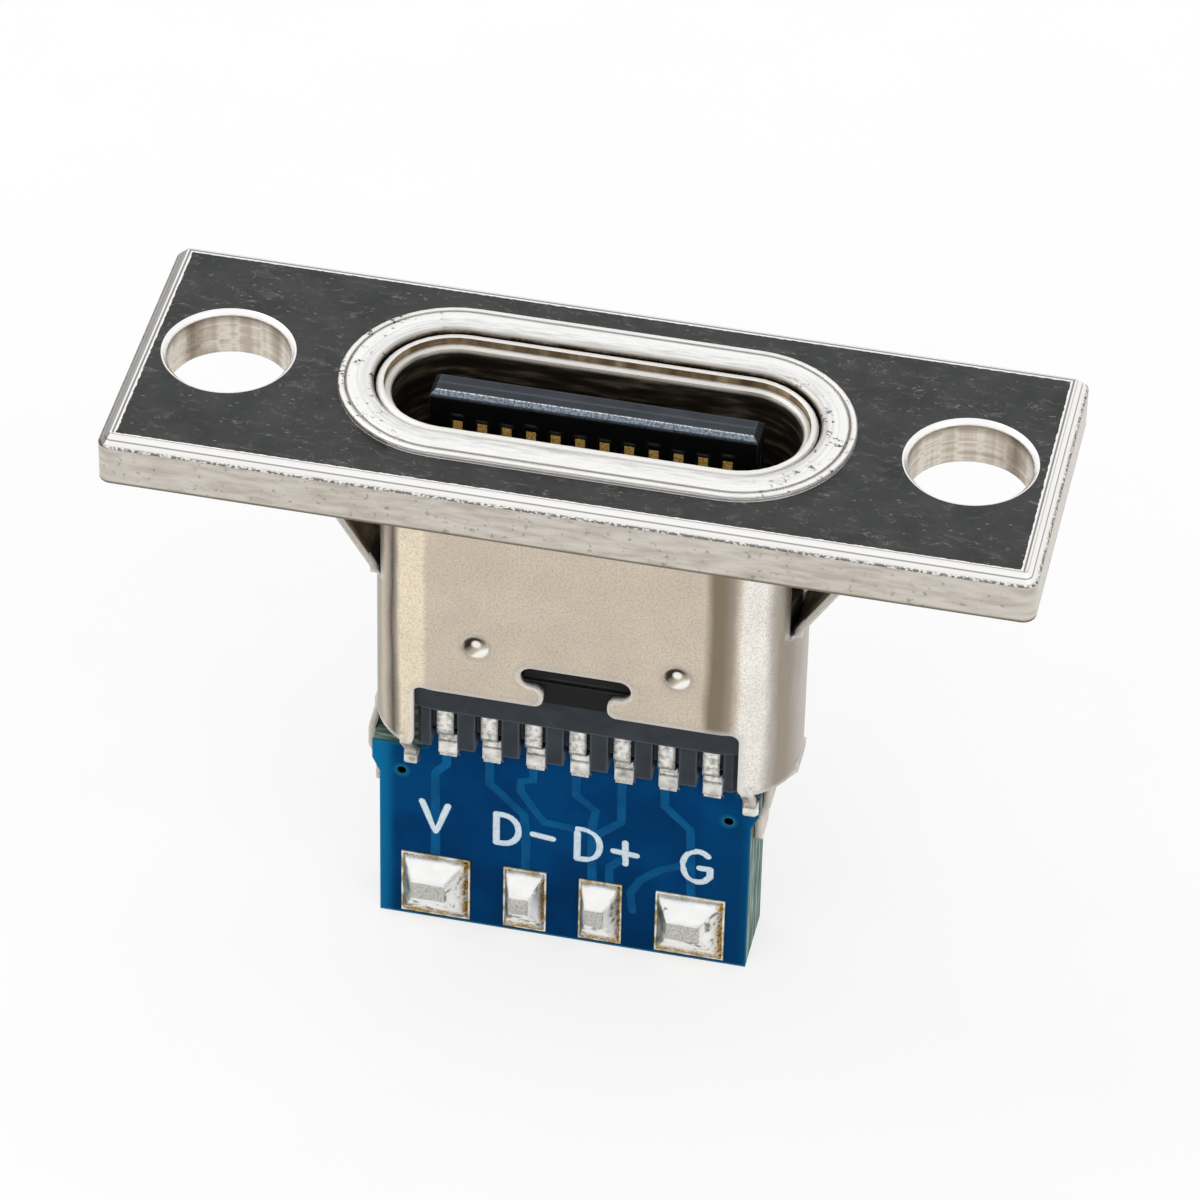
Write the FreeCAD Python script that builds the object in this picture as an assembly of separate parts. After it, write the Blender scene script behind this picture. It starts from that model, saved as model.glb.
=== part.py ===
import FreeCAD, Part
import os

# Panel-mount USB-C socket: a flange plate carries a drawn socket shell, and a small board with
# wire pads is gripped between the two rows of solder tails at the rear.
# Frame: +Z comes out of the mouth, +X runs along the plate, -Y is the side with the wire pads.
# The origin is the centre of the opening in the plate's front face. All sizes are millimetres.

# Plug interface
mouth_length = 8.34
mouth_width = 2.56
shell_lip = 0.05
tongue_width = 6.69
tongue_thickness = 0.70
tongue_recess = 0.03
tongue_bevel = 0.12
tongue_root_thickness = 1.10
tongue_root_height = 0.90

# Flange plate
plate_length = 18.85
plate_width = 6.60
plate_thickness = 1.10
plate_corner = 0.28
plate_bevel = 0.24
hole_end_distance = 1.875
hole_diameter = 2.50
hole_bevel = 0.09
rim_width = 0.72
rim_height = 0.13
rim_edge = 0.04
rim_groove = 0.05
rim_bead = 0.13
rim_slope = 0.06
opening_clearance = 0.05

# Shells
inner_wall = 0.14
outer_wall = 0.15
shell_gap = 0.01
inner_shell_step = 0.14
shell_rear = 6.80
housing_base = 0.65
inner_shell_notch = 0.10
inner_shell_relief = 0.06
leg_length = 1.70
leg_inset = 1.07
leg_round = 0.22
lip_edge = 0.04
dimple_spacing = 4.17
dimple_depth = 0.11
dimple_radius = 0.27
dimple_height = 1.34
slot_length = 2.31
slot_height = 0.50
slot_top = 1.00
slot_neck = 1.34
slot_tooth_round = 0.20

# Gusset ears lanced out of the shell's round ends and welded under the plate
ear_width = 1.50
ear_root = 4.60
ear_root_land = 0.18
ear_reach = 0.90
ear_flare = 1.45
ear_bend = 0.22
ear_slit = 0.08
ear_window_land = 0.15

# Ground legs that follow the board's edges, and small ground feet on its faces
ground_leg_width = 0.84
ground_leg_gap = 0.02
ground_leg_tip = 0.70
ground_leg_round = 0.20
ground_foot_width = 0.24
ground_foot_inset = 0.06
ground_foot_drop = 0.62
ground_foot_length = 0.34

# Contacts
contact_count = 12
contact_pitch = 0.50
contact_width = 0.25
contact_thickness = 0.12
contact_proud = 0.01
contact_start = 0.56
power_contact_start = 0.48
power_positions = (1, 4, 9, 12)
tail_positions = (1, 4, 5, 6, 7, 9, 12)
tail_pitch = 0.93
tail_width = 0.36
tail_plane = 1.20
tail_bend_lift = 0.27
tail_bend_run = 0.75
tail_foot = 0.62
fan_start = 0.25
fan_end = 0.75
stub_length = 0.20

# Insulator
housing_bar = 0.67
comb_height = 1.10
comb_face = 1.30
comb_leg_gap = 0.04
groove_side = 0.10
housing_round = 0.10
ledge_height = 0.25
ledge_end_gap = 0.06
ledge_undercut = 0.09
ledge_undercut_height = 0.10
moulding_gap = 0.01

# Mid plate and shield pads
mid_plate_thickness = 0.15
mid_plate_side = 0.20
mid_plate_recess = 0.45
mid_plate_tail = 0.35
latch_land = 1.05
latch_slope = 0.12
latch_notch = 0.63
shield_pad_thickness = 0.08
shield_pad_length = 5.60
shield_pad_height = 0.80
shield_notch_width = 0.70
shield_notch_height = 0.35

# Board
board_thickness = 1.60
board_top_width = 8.20
board_low_width = 7.88
board_height = 5.71
board_shift = -0.34
board_seat = 0.40
board_shoulder = 0.96
board_neck_gap = 0.12
board_step_drop = 1.43
board_step_height = 0.35
via_radius = 0.10
via_inset = 0.63
via_drop = 1.67

# Wire pads and solder
pad_thickness = 0.04
pad_height = 1.67
wide_pad = 1.48
narrow_pad = 0.92
inner_pad_centre = 0.81
outer_pad_centre = 2.73
pad_margin = 0.12
solder_height = 0.42
solder_side = 0.03
solder_crown = 0.52
solder_crown_height = 0.36
solder_sag = 0.08
joint_solder_side = 0.03
joint_solder_crown = 0.45
joint_solder_rise = 0.04
joint_solder_length = 0.62
joint_solder_toe = 0.05

# Pull-down resistors on the hidden face
resistor_length = 1.00
resistor_width = 0.50
resistor_height = 0.33
resistor_spacing = 2.20
resistor_drop = 2.70
resistor_fillet = 0.22
resistor_joint_base = 1.10
resistor_joint_crown = 0.80
resistor_joint_top = 0.40
resistor_joint_rise = 0.70

# How far a cutter reaches past what it cuts, and how close two coordinates count as the same
reach = 1.0
same = 1e-3

# Worked-out planes
shell_length = mouth_length + 2 * (inner_wall + shell_gap + outer_wall)
shell_width = mouth_width + 2 * (inner_wall + shell_gap + outer_wall)
bore_length = shell_length - 2 * outer_wall
bore_width = shell_width - 2 * outer_wall
opening_length = shell_length + 2 * opening_clearance
opening_width = shell_width + 2 * opening_clearance
rim_length = opening_length + 2 * rim_width
rim_outer_width = opening_width + 2 * rim_width
hole_pitch = plate_length - 2 * hole_end_distance
floor_z = housing_base - shell_rear
bar_bottom_z = -shell_rear - housing_bar
comb_bottom_z = bar_bottom_z - comb_height
leg_bottom_z = -shell_rear - leg_length
tongue_top_z = shell_lip - tongue_recess
board_top_z = comb_bottom_z + board_seat
board_bottom_z = board_top_z - board_height
board_face = board_thickness / 2
comb_half = shell_length / 2 - leg_inset - comb_leg_gap
FRONT = -1
BACK = 1


def vec(x, y, z):
    return FreeCAD.Vector(x, y, z)


def block(x0, x1, y0, y1, z0, z1):
    low = vec(min(x0, x1), min(y0, y1), min(z0, z1))
    return Part.makeBox(abs(x1 - x0), abs(y1 - y0), abs(z1 - z0), low)


def racetrack_wire(length, width, z):
    radius = width / 2
    half = length / 2 - radius
    corners = [vec(half, -radius, z), vec(half, radius, z), vec(-half, radius, z), vec(-half, -radius, z)]
    right = Part.Arc(corners[0], vec(half + radius, 0, z), corners[1])
    left = Part.Arc(corners[2], vec(-half - radius, 0, z), corners[3])
    back = Part.LineSegment(corners[1], corners[2])
    front = Part.LineSegment(corners[3], corners[0])
    return Part.Wire([right.toShape(), back.toShape(), left.toShape(), front.toShape()])


def racetrack(length, width, bottom, top):
    return Part.Face(racetrack_wire(length, width, bottom)).extrude(vec(0, 0, top - bottom))


def outline(points, direction):
    return Part.Face(Part.makePolygon(list(points) + [points[0]])).extrude(direction)


def edges_at(shape, z):
    found = []
    for edge in shape.Edges:
        box = edge.BoundBox
        if abs(box.ZMin - z) < same and abs(box.ZMax - z) < same:
            found.append(edge)
    return found


def mouth_edges(shape, z, length, width):
    found = []
    for edge in edges_at(shape, z):
        box = edge.BoundBox
        if box.XLength < length + same and max(box.YMax, -box.YMin) < width / 2 + same:
            found.append(edge)
    return found


def upright_edges(shape):
    found = []
    for edge in shape.Edges:
        box = edge.BoundBox
        if box.XLength < same and box.YLength < same:
            found.append(edge)
    return found


def edges_across(shape, low_z, high_z):
    found = []
    for edge in shape.Edges:
        box = edge.BoundBox
        if box.YLength > same and box.XLength < same and box.ZMin > low_z - same and box.ZMax < high_z + same:
            found.append(edge)
    return found


def mirrored(shape, normal):
    return shape.mirror(vec(0, 0, 0), normal)


def save(name, shape):
    shape.exportStep(os.path.join("parts", name + ".step"))


# Flange plate: bevelled all round, with a raised grooved rim around the mouth and two screw holes
def flange_plate():
    half = plate_length / 2
    plate = block(-half, half, -plate_width / 2, plate_width / 2, -plate_thickness, 0)
    plate = plate.makeFillet(plate_corner, upright_edges(plate))
    plate = plate.makeChamfer(plate_bevel, edges_at(plate, 0))
    rim = racetrack(rim_length, rim_outer_width, -rim_height, rim_height)
    rim = rim.makeChamfer(rim_edge, edges_at(rim, rim_height))
    outer = 2 * rim_bead
    inner = 2 * (rim_bead + rim_groove)
    groove = racetrack(rim_length - outer, rim_outer_width - outer, rim_height / 2, reach)
    groove = groove.cut(racetrack(rim_length - inner, rim_outer_width - inner, 0, reach))
    plate = plate.fuse(rim).cut(groove)
    plate = plate.cut(racetrack(opening_length, opening_width, -plate_thickness - reach, reach))
    plate = plate.makeChamfer(rim_slope, mouth_edges(plate, rim_height, opening_length, opening_width))
    for side in (-1, 1):
        centre = vec(side * hole_pitch / 2, 0, -plate_thickness)
        radius = hole_diameter / 2
        plate = plate.cut(Part.makeCylinder(radius, plate_thickness, centre))
        countersink = Part.makeCone(radius, radius + hole_bevel, hole_bevel)
        top_sink = countersink.translated(centre + vec(0, 0, plate_thickness - hole_bevel))
        low_sink = mirrored(countersink, vec(0, 0, 1)).translated(centre + vec(0, 0, hole_bevel))
        plate = plate.cut(top_sink).cut(low_sink)
    return plate.removeSplitter()


# T-shaped latch window in the rear edge of the shell, with rounded teeth at its neck
def latch_window():
    low = -shell_rear
    top = low + slot_top
    bar_low = top - slot_height
    radius = slot_height / 2
    depth = shell_width
    half = slot_length / 2 - radius
    bar = block(-half, half, -depth, 0, bar_low, top)
    for side in (-1, 1):
        bar = bar.fuse(Part.makeCylinder(radius, depth, vec(side * half, -depth, top - radius), vec(0, 1, 0)))
    neck = block(-slot_neck / 2, slot_neck / 2, -depth, 0, low - reach, bar_low + radius / 2)
    window = bar.fuse(neck).removeSplitter()
    corners = []
    for edge in edges_across(window, bar_low, bar_low):
        if abs(abs(edge.BoundBox.XMin) - slot_neck / 2) < same:
            corners.append(edge)
    window = window.makeFillet(slot_tooth_round, corners)
    for side in (-1, 1):
        x = side * slot_neck / 2
        size = slot_tooth_round
        corner = block(x, x + side * size, -depth, 0, low - reach, low + size)
        round_edge = Part.makeCylinder(size, depth, vec(x + side * size, -depth, low + size), vec(0, 1, 0))
        window = window.fuse(corner.cut(round_edge))
    return window.removeSplitter()


# Ear: a strap that leaves the shell wall, flares outwards and turns up to the plate
def ear():
    inner_x = shell_length / 2 - outer_wall
    bend_z = -ear_root + ear_root_land
    top_z = bend_z + ear_flare
    inner = [vec(inner_x, 0, -ear_root), vec(inner_x, 0, bend_z), vec(inner_x + ear_reach, 0, top_z),
             vec(inner_x + ear_reach, 0, -plate_thickness)]
    slope = ear_reach / ear_flare
    mitre = outer_wall * ((1 + slope * slope) ** 0.5 - 1) / slope
    outer = [point + vec(outer_wall, 0, 0) for point in inner]
    outer[1].z -= mitre
    outer[2].z -= mitre
    tab = outline(inner + outer[::-1], vec(0, ear_width, 0)).translated(vec(0, -ear_width / 2, 0))
    return tab.makeFillet(ear_bend, edges_across(tab, bend_z - mitre, top_z))


# Ground leg on one side: down from the shell's end, in to the board's edge and along its step
def ground_leg(side):
    shell_x = shell_length / 2 - outer_wall
    wide_x = side * board_shift + board_top_width / 2 + ground_leg_gap
    low_x = side * board_shift + board_low_width / 2 + ground_leg_gap
    step_z = board_top_z - board_step_drop
    inner = [vec(shell_x, 0, leg_bottom_z + leg_round), vec(shell_x, 0, leg_bottom_z),
             vec(wide_x, 0, board_top_z - board_shoulder), vec(wide_x, 0, step_z),
             vec(low_x, 0, step_z - board_step_height),
             vec(low_x, 0, step_z - board_step_height - ground_leg_tip)]
    outer = [point + vec(outer_wall, 0, 0) for point in inner]
    leg = outline(inner + outer[::-1], vec(0, ground_leg_width, 0))
    leg = leg.translated(vec(0, -ground_leg_width / 2, 0))
    tip = [e for e in edges_at(leg, inner[-1].z) if e.BoundBox.YLength < same]
    leg = leg.makeFillet(ground_leg_round, tip)
    return leg if side > 0 else mirrored(leg, vec(1, 0, 0))


def ground_foot_x():
    return shell_length / 2 - leg_inset + ground_foot_inset + ground_foot_width / 2


# Ground foot: a narrow strip of the leg's inner corner, bent in to lie on the board's face
def ground_foot(side, face):
    x = ground_foot_x()
    outer_y = bore_width / 2
    bend_z = leg_bottom_z - ground_foot_drop
    foot_y = board_face + outer_wall
    profile = [(outer_y, leg_bottom_z + leg_round), (outer_y, leg_bottom_z), (foot_y, bend_z),
               (foot_y, bend_z - ground_foot_length), (board_face, bend_z - ground_foot_length),
               (board_face, bend_z), (outer_y - outer_wall, leg_bottom_z),
               (outer_y - outer_wall, leg_bottom_z + leg_round)]
    foot = outline([vec(0, face * y, z) for y, z in profile], vec(ground_foot_width, 0, 0))
    return foot.translated(vec(side * x - ground_foot_width / 2, 0, 0))


# Round the lower corners of the legs where they face each other
def leg_gap():
    leg_x = shell_length / 2 - leg_inset
    deep = 2 * shell_width
    low = leg_bottom_z - reach
    gap = block(-leg_x, leg_x, -shell_width, shell_width, low, -shell_rear)
    gap = gap.makeFillet(leg_round, edges_across(gap, -shell_rear, -shell_rear))
    for side in (-1, 1):
        x = side * (leg_x + leg_round)
        corner = block(side * leg_x, x, -shell_width, shell_width, low, leg_bottom_z + leg_round)
        pin = Part.makeCylinder(leg_round, deep, vec(x, -shell_width, leg_bottom_z + leg_round), vec(0, 1, 0))
        gap = gap.fuse(corner.cut(pin))
    return gap


# Dimples pressed into both faces of the shell, which key it to the tube inside
def press_dimples(tube):
    ball = (dimple_radius ** 2 + dimple_depth ** 2) / (2 * dimple_depth)
    skin = bore_width / 2
    for face in (FRONT, BACK):
        for side in (-1, 1):
            x = side * dimple_spacing / 2
            z = -shell_rear + dimple_height
            centre = vec(x, face * (shell_width / 2 + ball - dimple_depth), z)
            inner_centre = vec(x, face * (skin + ball - dimple_depth), z)
            layer = block(x - ball, x + ball, face * skin, face * (skin - dimple_depth), z - ball, z + ball)
            tube = tube.fuse(Part.makeSphere(ball, inner_centre).common(layer))
            tube = tube.cut(Part.makeSphere(ball, centre))
    return tube


# Outer shell: drawn jacket with two long legs, latch windows, dimples, ears, ground legs and feet
def outer_shell():
    tube = racetrack(shell_length, shell_width, leg_bottom_z, shell_lip)
    tube = tube.makeChamfer(lip_edge, edges_at(tube, shell_lip))
    tube = tube.cut(racetrack(bore_length, bore_width, leg_bottom_z - reach, reach))
    tube = tube.cut(leg_gap())
    window = latch_window()
    tube = tube.cut(window).cut(mirrored(window, vec(0, 1, 0)))
    tube = press_dimples(tube)
    wall = shell_length / 2
    half_window = ear_width / 2 + ear_slit
    for side in (-1, 1):
        lance = block(side * (wall - leg_inset), side * (wall + leg_inset), -half_window, half_window,
                      -ear_root + ear_slit / 4, -plate_thickness - ear_window_land)
        tab = ear() if side > 0 else mirrored(ear(), vec(1, 0, 0))
        tube = tube.cut(lance).fuse(tab).fuse(ground_leg(side))
        for face in (FRONT, BACK):
            tube = tube.fuse(ground_foot(side, face))
    return tube.removeSplitter()


# Inner shell: the seamless tube that guides the plug, notched behind the latch windows
def inner_shell():
    length = mouth_length + 2 * inner_wall
    width = mouth_width + 2 * inner_wall
    top = shell_lip - inner_shell_step
    tube = racetrack(length, width, floor_z, top)
    tube = tube.cut(racetrack(mouth_length, mouth_width, floor_z - reach, reach))
    tube = tube.makeChamfer(inner_wall / 2, mouth_edges(tube, top, mouth_length, mouth_width))
    relief_radius = dimple_radius + inner_shell_relief
    for side in (-1, 1):
        place = vec(side * dimple_spacing / 2, -width, -shell_rear + dimple_height)
        tube = tube.cut(Part.makeCylinder(relief_radius, 2 * width, place, vec(0, 1, 0)))
    half = slot_length / 2 + inner_shell_notch
    return tube.cut(block(-half, half, -width, width, floor_z, -shell_rear + slot_top + inner_shell_notch))


# Path of one contact: a strip on the tongue, then, if it has a tail, a fan, a step and a foot
def contact(index, face):
    x = (index - (contact_count + 1) / 2) * contact_pitch
    start = tongue_top_z - (power_contact_start if index in power_positions else contact_start)
    surface = tongue_thickness / 2 + contact_proud
    deep = surface - contact_thickness
    half = contact_width / 2
    if index not in tail_positions:
        return block(x - half, x + half, face * deep, face * surface, floor_z - stub_length, start)
    tail_x = tail_places()[tail_positions.index(index)]
    tail_half = tail_width / 2
    fan_top = floor_z - fan_start
    fan_low = floor_z - fan_end
    step_z = fan_low - tail_half
    strip = outline([vec(x - half, 0, start), vec(x + half, 0, start), vec(x + half, 0, fan_top),
                     vec(tail_x + tail_half, 0, fan_low), vec(tail_x + tail_half, 0, step_z),
                     vec(tail_x - tail_half, 0, step_z), vec(tail_x - tail_half, 0, fan_low),
                     vec(x - half, 0, fan_top)], vec(0, face * contact_thickness, 0))
    strip.translate(vec(0, face * deep, 0))
    inner = tail_plane - contact_thickness
    bend_top, bend_low, foot_z = tail_bend()
    profile = [(deep, step_z + contact_thickness), (tail_plane, step_z + contact_thickness),
               (tail_plane, bend_top), (board_face + contact_thickness, bend_low),
               (board_face + contact_thickness, foot_z), (board_face, foot_z), (board_face, bend_low),
               (inner, bend_top), (inner, step_z), (deep, step_z)]
    tail = outline([vec(0, face * y, z) for y, z in profile], vec(tail_width, 0, 0))
    tail.translate(vec(tail_x - tail_half, 0, 0))
    return strip.fuse(tail).removeSplitter()


# Steel mid plate inside the tongue: its bare side edges are what the plug's latches grip
def mid_plate():
    half = tongue_width / 2
    waist = half - mid_plate_side
    top = tongue_top_z - mid_plate_recess
    catch = top - latch_land
    notch_top = catch - latch_slope
    notch_low = notch_top - latch_notch
    right = [(waist, top), (half, top - mid_plate_side), (half, catch), (waist, notch_top),
             (waist, notch_low), (half, notch_low - latch_slope), (half, floor_z), (waist, floor_z),
             (waist, floor_z - fan_end - mid_plate_tail)]
    points = [vec(x, 0, z) for x, z in right] + [vec(-x, 0, z) for x, z in reversed(right)]
    plate = outline(points, vec(0, mid_plate_thickness, 0))
    return plate.translated(vec(0, -mid_plate_thickness / 2, 0))


# Shield pad: a notched steel strip on the thick root of the tongue, where the plug's springs touch
def shield_pad(face):
    half = shield_pad_length / 2
    top = floor_z + shield_pad_height
    root = tongue_root_thickness / 2
    pad = block(-half, half, face * root, face * (root + shield_pad_thickness), floor_z, top)
    for side in (-1, 1):
        x = side * half / 2
        pad = pad.cut(block(x - shield_notch_width / 2, x + shield_notch_width / 2, -2 * root, 2 * root,
                            top - shield_notch_height, top))
    return pad


# Insulator of one side: base, comb that spaces the tails and grips the board, and half of the tongue
def housing(face, contacts, plate):
    length = bore_length - 2 * moulding_gap
    width = bore_width - 2 * moulding_gap
    base = racetrack(length, width, bar_bottom_z, floor_z)
    comb = block(-comb_half, comb_half, -comb_face, comb_face, comb_bottom_z, bar_bottom_z)
    comb = comb.makeChamfer(housing_round, upright_edges(comb))
    half = tongue_width / 2
    thick = tongue_thickness / 2
    tongue = block(-half, half, -thick, thick, floor_z, tongue_top_z)
    tongue = tongue.makeChamfer(tongue_bevel, edges_at(tongue, tongue_top_z))
    root = block(-half, half, -tongue_root_thickness / 2, tongue_root_thickness / 2, floor_z,
                 floor_z + tongue_root_height)
    ledge_half = slot_length / 2 - ledge_end_gap
    ledge = block(-ledge_half, ledge_half, -width / 2, width / 2, floor_z, floor_z + ledge_height)
    ledge = ledge.cut(block(-length, length, -mouth_width / 2, mouth_width / 2, floor_z, reach))
    whole = base.fuse(comb).fuse(tongue).fuse(root).fuse(ledge)
    side = block(-shell_length, shell_length, 0, face * shell_width, comb_bottom_z, reach)
    moulding = whole.common(side)
    undercut_y = width / 2 - ledge_undercut
    moulding = moulding.cut(block(-slot_length / 2, slot_length / 2, face * undercut_y, face * width,
                                  floor_z - ledge_undercut_height, floor_z))
    seat_face = board_face + moulding_gap
    moulding = moulding.cut(block(-length, length, -seat_face, seat_face, comb_bottom_z,
                                  board_top_z + moulding_gap))
    groove_half = tail_width / 2 + groove_side
    inner = tail_plane - contact_thickness
    pocket_z = tail_bend()[0] + groove_side
    for x in tail_places():
        groove = block(x - groove_half, x + groove_half, face * inner, face * shell_width,
                       comb_bottom_z, bar_bottom_z)
        pocket = block(x - groove_half, x + groove_half, face * board_face, face * shell_width,
                       comb_bottom_z, pocket_z)
        moulding = moulding.cut(groove).cut(pocket)
    moulding = moulding.cut(plate)
    for strip in contacts:
        moulding = moulding.cut(strip)
    return moulding.removeSplitter()


# Board: a neck between the shell's legs, wide shoulders, and a step down to the narrower wire end
def circuit_board():
    neck = shell_length / 2 - leg_inset - board_neck_gap
    top = board_top_width / 2
    low = board_low_width / 2
    shoulder_z = board_top_z - board_shoulder
    step_z = board_top_z - board_step_drop
    step_low_z = step_z - board_step_height
    right = [(neck - board_shift, board_top_z), (neck - board_shift, shoulder_z), (top, shoulder_z),
             (top, step_z), (low, step_low_z), (low, board_bottom_z)]
    left = [(-low, board_bottom_z), (-low, step_low_z), (-top, step_z), (-top, shoulder_z),
            (-neck - board_shift, shoulder_z), (-neck - board_shift, board_top_z)]
    board = outline([vec(x, 0, z) for x, z in right + left], vec(0, board_thickness, 0))
    board.translate(vec(0, -board_thickness / 2, 0))
    for side in (-1, 1):
        place = vec(side * (top - via_inset), -board_thickness, board_top_z - via_drop)
        board = board.cut(Part.makeCylinder(via_radius, 2 * board_thickness, place, vec(0, 1, 0)))
    return board.translated(vec(board_shift, 0, 0))


# Four pads in a row along the board's lower edge: two wide ones outside, two narrow ones between
def wire_pads():
    wide = (wide_pad, outer_pad_centre)
    narrow = (narrow_pad, inner_pad_centre)
    return [("supply", -1, wide), ("data_minus", -1, narrow), ("data_plus", 1, narrow),
            ("ground", 1, wide)]


def wire_pad(side, width, centre):
    x = board_shift + side * centre
    low = board_bottom_z + pad_margin
    half = width / 2
    return block(x - half, x + half, -board_face, -board_face - pad_thickness, low, low + pad_height)


# A lump whose base lies on y = face * plane and whose crown is smaller, both centred on x and z
def mound(face, plane, height, centre, base, crown, crown_lift=0.0):
    x, z = centre
    base_x, base_z = base[0] / 2, base[1] / 2
    crown_x, crown_z = crown[0] / 2, crown[1] / 2
    lump = Part.makeWedge(x - base_x, 0, z - base_z, z - crown_z + crown_lift, x - crown_x,
                          x + base_x, height, z + base_z, z + crown_z + crown_lift, x + crown_x)
    if face == FRONT:
        lump = mirrored(lump, vec(0, 1, 0))
    return lump.translated(vec(0, face * plane, 0))


# Pre-tinned solder on a wire pad: a hipped lump with a small flat crown below its middle
def wire_solder(side, width, centre):
    x = board_shift + side * centre
    z = board_bottom_z + pad_margin + pad_height / 2
    base = (width - 2 * solder_side, pad_height - 2 * solder_side)
    crown = (base[0] * solder_crown, base[1] * solder_crown_height)
    return mound(FRONT, board_face + pad_thickness, solder_height, (x, z), base, crown, -base[1] * solder_sag)


def tail_places():
    count = len(tail_positions)
    return [(slot - (count - 1) / 2) * tail_pitch for slot in range(count)]


# Heights where a tail starts to bend, where it meets the board and where its foot ends
def tail_bend():
    bend_top = comb_bottom_z + tail_bend_lift
    bend_low = bend_top - (tail_plane - contact_thickness - board_face) * tail_bend_run
    return bend_top, bend_low, bend_low - tail_foot


# Solder round the feet of one row of tails
def tail_solder(face, contacts):
    foot_z = tail_bend()[2]
    low = foot_z - joint_solder_toe
    height = contact_thickness + joint_solder_rise
    joints = []
    for x in tail_places():
        base = (tail_width + 2 * joint_solder_side + joint_solder_toe, joint_solder_length)
        crown = (tail_width + joint_solder_side, joint_solder_length * joint_solder_crown)
        joint = mound(face, board_face, height, (x, low + joint_solder_length / 2), base, crown)
        for strip in contacts:
            if strip.BoundBox.ZMin < foot_z + same:
                joint = joint.cut(strip)
        joints.append(joint)
    return Part.makeCompound(joints)


# Solder round the ground feet of one face
def ground_solder(face):
    bend_z = leg_bottom_z - ground_foot_drop
    low = bend_z - ground_foot_length - joint_solder_toe
    length = ground_foot_length + joint_solder_toe
    lumps = []
    for side in (-1, 1):
        centre = (side * ground_foot_x(), low + length / 2)
        base = (ground_foot_width + 2 * joint_solder_side + joint_solder_toe, length)
        crown = (ground_foot_width + joint_solder_side, length * joint_solder_crown)
        lump = mound(face, board_face, outer_wall + joint_solder_rise, centre, base, crown)
        lumps.append(lump.cut(ground_foot(side, face)))
    return Part.makeCompound(lumps)


# Pull-down resistors: ceramic chips with metal end caps, upright on the hidden face
def resistor(side):
    x = board_shift + side * resistor_spacing / 2
    z = board_top_z - resistor_drop
    half = resistor_width / 2
    return block(x - half, x + half, board_face, board_face + resistor_height, z - resistor_length / 2,
                 z + resistor_length / 2)


def resistor_solder():
    lumps = []
    for side in (-1, 1):
        chip = resistor(side)
        x = board_shift + side * resistor_spacing / 2
        for end in (-1, 1):
            z = board_top_z - resistor_drop + end * resistor_length / 2
            base = (resistor_width * resistor_joint_base, 2 * resistor_fillet)
            crown = (resistor_width * resistor_joint_crown, resistor_fillet * resistor_joint_top)
            lump = mound(BACK, board_face, resistor_height * resistor_joint_rise, (x, z), base, crown)
            lumps.append(lump.cut(chip))
    return Part.makeCompound(lumps)


def main():
    os.makedirs("parts", exist_ok=True)
    save("flange_plate", flange_plate())
    save("outer_shell", outer_shell())
    save("inner_shell", inner_shell())
    plate = mid_plate()
    save("mid_plate", plate)
    for face, label in ((FRONT, "front"), (BACK, "back")):
        strips = []
        for index in range(1, contact_count + 1):
            strip = contact(index, face)
            strips.append(strip)
            save("contact_%s_%02d" % (label, index), strip)
        save("housing_" + label, housing(face, strips, plate))
        save("shield_pad_" + label, shield_pad(face))
        save("tail_solder_" + label, tail_solder(face, strips))
        save("ground_solder_" + label, ground_solder(face))
    save("circuit_board", circuit_board())
    for name, side, size in wire_pads():
        save("wire_pad_" + name, wire_pad(side, *size))
        save("wire_solder_" + name, wire_solder(side, *size))
    for name, side in (("left", -1), ("right", 1)):
        save("resistor_" + name, resistor(side))
    save("resistor_solder", resistor_solder())


main()
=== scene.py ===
import bpy
import math
from mathutils import Matrix, Vector


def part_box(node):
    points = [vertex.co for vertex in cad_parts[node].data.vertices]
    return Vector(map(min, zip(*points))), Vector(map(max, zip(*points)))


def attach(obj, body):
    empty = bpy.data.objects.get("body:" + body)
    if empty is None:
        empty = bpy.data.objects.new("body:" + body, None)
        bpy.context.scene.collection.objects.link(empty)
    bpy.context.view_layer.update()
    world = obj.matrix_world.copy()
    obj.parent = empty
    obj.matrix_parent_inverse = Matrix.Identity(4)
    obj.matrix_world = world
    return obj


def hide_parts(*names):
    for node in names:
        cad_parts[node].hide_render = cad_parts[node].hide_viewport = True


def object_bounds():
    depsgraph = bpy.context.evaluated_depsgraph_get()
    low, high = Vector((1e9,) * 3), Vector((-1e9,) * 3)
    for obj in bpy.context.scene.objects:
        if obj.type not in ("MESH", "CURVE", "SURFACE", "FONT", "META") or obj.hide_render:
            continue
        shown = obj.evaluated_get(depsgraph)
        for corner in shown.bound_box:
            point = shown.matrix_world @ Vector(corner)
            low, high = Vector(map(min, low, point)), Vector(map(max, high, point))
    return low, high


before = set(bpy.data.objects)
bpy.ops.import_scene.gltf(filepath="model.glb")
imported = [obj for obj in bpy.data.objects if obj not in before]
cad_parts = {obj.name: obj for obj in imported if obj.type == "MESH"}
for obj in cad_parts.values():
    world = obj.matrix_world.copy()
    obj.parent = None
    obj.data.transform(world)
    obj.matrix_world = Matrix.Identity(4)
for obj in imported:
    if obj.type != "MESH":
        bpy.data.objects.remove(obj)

cad_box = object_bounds()


# Flange plate: one nickel-plated zinc slab with bevelled edges, two machined screw holes and a raised
# grooved rim. Its front face carries a dark glossy coat, and every other face shows the plating.
MM = 0.001


def linear(code):
    channels = [int(code[i:i + 2], 16) / 255 for i in (1, 3, 5)]
    return [c / 12.92 if c <= 0.04045 else ((c + 0.055) / 1.055) ** 2.4 for c in channels] + [1.0]


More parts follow.
